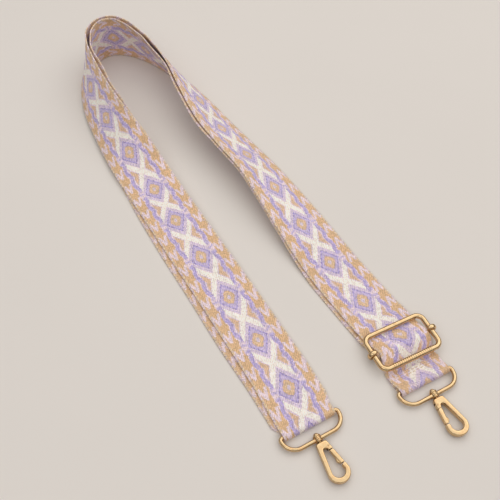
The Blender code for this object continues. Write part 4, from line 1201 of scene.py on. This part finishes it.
def make_slider_frame():
    """Rounded wire rectangle, with a ribbed sleeve on the bar by the ring and a seam on the other.

    The ribs are a power of the sine along the sleeve, and the seam is a low half cosine.
    """
    half, reach, corner = SLIDER_WIDTH / 2, SLIDER_LENGTH / 2, SLIDER_CORNER
    path = even_path(np.vstack([
        arc((sign_x * (half - corner), sign_y * (reach - corner)), corner, quarter, quarter + 1, 16)
        for quarter, (sign_x, sign_y) in enumerate(((1, 1), (-1, 1), (-1, -1), (1, -1)))
    ]), FRAME_STEP, True)
    space = np.column_stack((path, np.zeros(len(path))))
    loop = shell(wire(space, FRAME_RADIUS, (0, 0, 1), True), True)
    place = np.linspace(-SLEEVE_LENGTH / 2, SLEEVE_LENGTH / 2, SLEEVE_RIBS * 10 + 1)
    rib = np.abs(np.sin(np.pi * (place / SLEEVE_LENGTH + 0.5) * SLEEVE_RIBS)) ** RIB_POWER
    radii = SLEEVE_RADIUS - RIB_DEPTH * (1 - rib)
    radii[[0, -1]] = FRAME_RADIUS - SLEEVE_SINK
    sleeve = turned(np.column_stack((place, radii)), 36)
    place = np.linspace(-SEAM_HALF_LENGTH, SEAM_HALF_LENGTH, 9)
    radii = FRAME_RADIUS + SEAM_HEIGHT * np.cos(place / SEAM_HALF_LENGTH * np.pi / 2) - SEAM_SINK
    seam = turned(np.column_stack((place, radii)), 36)
    shells = (
        loop, reordered(sleeve, (1, 0, 2), (0.0, -reach, 0.0)),
        reordered(seam, (1, 0, 2), (SEAM_X, reach, 0.0)),
    )
    piece = make_mesh("slider_wire", [at_slider(item, FRAME_Z) for item in shells], METAL_ANGLE)
    finish_piece(piece, "pale_gold", "slider_frame_body", "slider_frame")


def make_slider_bar():
    """Bar whose ends curl up round the frame's short sides, where it is spread into bands."""
    half = SLIDER_WIDTH / 2
    radius = FRAME_RADIUS + FIT + BAR_RADIUS
    eye = arc((half, radius), radius, -1, EYE_WRAP, 40)
    x, z = even_path(np.vstack((eye[::-1] * (-1, 1), eye)), BAR_STEP).T
    points, faces = rounded_wire(np.column_stack((x, 0 * x, z)), BAR_RADIUS, (0, 1, 0))
    points[:, 1] *= 1 + BAND_SPREAD * ease((np.abs(points[:, 0]) - half + radius) / radius)
    piece = make_mesh("slider_bar_wire", [at_slider((points, faces), BAR_Z)], METAL_ANGLE)
    finish_piece(piece, "pale_gold", "slider_bar_body", "slider_bar")


def make_stitches():
    """Two rows of stitches, each a thread whose thickness follows a fourth-power arch."""
    s = sizes()
    length, radius = s.seam_stitch / MM, s.seam_thread / MM / 2
    pitch = length + STITCH_GAP
    count = int((FOLD_WIDTH - 2 * STITCH_MARGIN) / pitch)
    share = np.linspace(-1, 1, 9)[:, None]
    swell = np.sqrt(np.maximum(1 - share**4, 0.03))
    turn = np.linspace(0, 2 * np.pi, 8, endpoint=False)
    stitches = []
    for row in range(2):
        for number in range(count):
            x = (number - (count - 1) / 2) * pitch + share * length / 2
            sway = STITCH_SWAY * np.sin(number * 2.4 + row)
            y = FOLD_TAIL - SEAM_INSET - row * SEAM_PITCH + sway
            z = OUTER_Z + HALF_THICK - STITCH_SINK + radius * (1 - share**2) * STITCH_ARCH
            points = np.stack((
                x + 0 * turn, y + radius * swell * np.cos(turn), z + radius * swell * np.sin(turn)
            ), axis=-1)
            stitches.append(placed(shell(points), (*RIGHT_BAR, 0.0), RIGHT_TURN))
    piece = make_mesh("fold_stitches", stitches, SOFT_ANGLE)
    finish_piece(piece, "thread", "strap", "fold_stitching")


def slider_flow(body_a, body_b, start_y, end_y):
    """Two bodies, and two world places along the slider's travel."""
    low, high = leg_place(start_y - SLIDER[1]), leg_place(end_y - SLIDER[1])
    return body_a, body_b, world(*low), world(*high)


class STRAP_OT_main_webbing(bpy.types.Operator):
    """Webbing from the right leg round the bend, round the left ring and back underneath"""
    bl_idname = "strap.main_webbing"
    bl_label = "Main webbing"

    def execute(self, context):
        nodes = ("outer_run", "return_run", "left_ring_loop")
        add_webbing("main_webbing", "main", "laid", "left_ring", "strap", *nodes)
        return {"FINISHED"}


class STRAP_OT_adjusting_webbing(bpy.types.Operator):
    """Webbing that slips as the slider travels: over the bar to the leg, back to its sewn end"""
    bl_idname = "strap.adjusting_webbing"
    bl_label = "Adjusting webbing"

    def execute(self, context):
        flow = slider_flow("slider_bar_body", "strap", TRAVEL_START_Y, LEG_CUT_Y - 4.0)
        nodes = ("return_adjusting_stretch", "slider_sewn_fold")
        add_webbing("leg_webbing", "leg", "laid", "slider_bar", flow, "outer_adjusting_stretch")
        add_webbing("returned_webbing", "tail", "laid", "slider_bar", flow, *nodes)
        return {"FINISHED"}


class STRAP_OT_ring_fold(bpy.types.Operator):
    """Webbing sewn round the right ring, and its way under the slider's frame and over its bar"""
    bl_idname = "strap.ring_fold"
    bl_label = "Ring fold and crossing"

    def execute(self, context):
        flow = slider_flow("strap", "slider_bar_body", *CROSSING_FLOW_Y)
        add_webbing(
            "ring_fold_webbing", "fold", "folded", "right_ring", "strap", "right_sewn_fold"
        )
        add_webbing("crossing_webbing", "front", "laid", "slider_bar", flow, "slider_crossing")
        make_stitches()
        return {"FINISHED"}


class STRAP_OT_rings(bpy.types.Operator):
    """The two rings with their grooved barrels"""
    bl_idname = "strap.rings"
    bl_label = "Rings"

    def execute(self, context):
        make_ring("left")
        make_ring("right")
        return {"FINISHED"}


class STRAP_OT_hooks(bpy.types.Operator):
    """The two hook bodies with their rivets and pins"""
    bl_idname = "strap.hooks"
    bl_label = "Hooks"

    def execute(self, context):
        for side in ("left", "right"):
            make_rivet(side)
            make_hook(side)
            make_pin(side)
        return {"FINISHED"}


class STRAP_OT_gates(bpy.types.Operator):
    """The two gates and their springs"""
    bl_idname = "strap.gates"
    bl_label = "Gates and springs"

    def execute(self, context):
        for side in ("left", "right"):
            make_gate(side)
            make_spring(side)
        return {"FINISHED"}


class STRAP_OT_slider(bpy.types.Operator):
    """The slider's frame and bar"""
    bl_idname = "strap.slider"
    bl_label = "Slider"

    def execute(self, context):
        make_slider_frame()
        make_slider_bar()
        return {"FINISHED"}


def studio_world():
    """Soft studio, brightest halfway up and dim at the horizon, for bright and dark edges."""
    sky = bpy.data.worlds.new("studio")
    sky.use_nodes = True
    tree = sky.node_tree
    place = tree.nodes.new("ShaderNodeTexCoord")
    split = tree.nodes.new("ShaderNodeSeparateXYZ")
    ramp = tree.nodes.new("ShaderNodeValToRGB")
    tree.links.new(place.outputs["Generated"], split.inputs[0])
    tree.links.new(split.outputs["Z"], ramp.inputs["Fac"])
    stops = ramp.color_ramp.elements
    while len(stops) < len(SKY_STOPS):
        stops.new(0.5)
    for stop, (height, level_share) in zip(stops, SKY_STOPS):
        stop.position = height
        stop.color = (level_share, level_share * 0.975, level_share * 0.95, 1.0)
    tree.links.new(ramp.outputs["Color"], tree.nodes["Background"].inputs["Color"])
    return sky


def add_lamp(name, place, target, size, power, tint):
    """A square soft lamp that faces a target."""
    lamp = bpy.data.lights.new(name, "AREA")
    lamp.shape = "SQUARE"
    lamp.size = size
    lamp.energy = power
    lamp.color = tint
    holder = bpy.data.objects.new(name, lamp)
    bpy.context.scene.collection.objects.link(holder)
    holder.location = place
    holder.rotation_euler = (Vector(target) - Vector(place)).to_track_quat("-Z", "Y").to_euler()


class STRAP_OT_stage(bpy.types.Operator):
    """Pale floor, soft light from the right and the camera"""
    bl_idname = "strap.stage"
    bl_label = "Stage"

    def execute(self, context):
        scene = context.scene
        row = np.linspace(-FLOOR_REACH, FLOOR_REACH, FLOOR_ROWS)
        x, y = np.meshgrid(row, row)
        index = np.arange(x.size).reshape(x.shape)
        faces = np.stack((index[:-1, :-1], index[:-1, 1:], index[1:, 1:], index[1:, :-1]), axis=-1)
        mesh = bpy.data.meshes.new("floor")
        places = np.column_stack((x.ravel(), y.ravel(), np.zeros(x.size)))
        mesh.from_pydata(places.tolist(), [], faces.reshape(-1, 4).tolist())
        floor = bpy.data.objects.new("floor", mesh)
        scene.collection.objects.link(floor)
        mesh.materials.append(floor_material())

        scene.world = studio_world()
        for name, lamp in LAMPS.items():
            add_lamp(name, *lamp)

        lens = bpy.data.cameras.new("photo_view")
        lens.lens, lens.sensor_width, lens.clip_start = LENS, SENSOR, CLIP_START
        camera = bpy.data.objects.new("photo_view", lens)
        scene.collection.objects.link(camera)
        camera.location = world(*CAMERA_PLACE)
        camera.rotation_euler = [math.radians(angle) for angle in CAMERA_TURN]
        scene.camera = camera
        scene.view_settings.view_transform = "Standard"
        return {"FINISHED"}


OPERATORS = (
    STRAP_OT_main_webbing, STRAP_OT_adjusting_webbing, STRAP_OT_ring_fold, STRAP_OT_rings,
    STRAP_OT_hooks, STRAP_OT_gates, STRAP_OT_slider, STRAP_OT_stage,
)


class STRAP_PT_panel(bpy.types.Panel):
    """Sizes, colours and the strap's pieces"""
    bl_idname = "STRAP_PT_panel"
    bl_label = "Bag strap"
    bl_space_type = "VIEW_3D"
    bl_region_type = "UI"
    bl_category = "Bag strap"

    def draw(self, context):
        for group in (context.scene.strap_sizes, context.scene.strap_colours):
            for key in group.__annotations__:
                self.layout.prop(group, key)
        for operator in OPERATORS:
            self.layout.operator(operator.bl_idname)


CLASSES = (StrapSizes, StrapColours, *OPERATORS, STRAP_PT_panel)


def register():
    for item in CLASSES:
        bpy.utils.register_class(item)
    bpy.types.Scene.strap_sizes = PointerProperty(type=StrapSizes)
    bpy.types.Scene.strap_colours = PointerProperty(type=StrapColours)


def unregister():
    del bpy.types.Scene.strap_colours
    del bpy.types.Scene.strap_sizes
    for item in reversed(CLASSES):
        bpy.utils.unregister_class(item)


def main():
    register()
    for operator in OPERATORS:
        group, name = operator.bl_idname.split(".")
        getattr(getattr(bpy.ops, group), name)()
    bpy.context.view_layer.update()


if __name__ == "__main__":
    main()
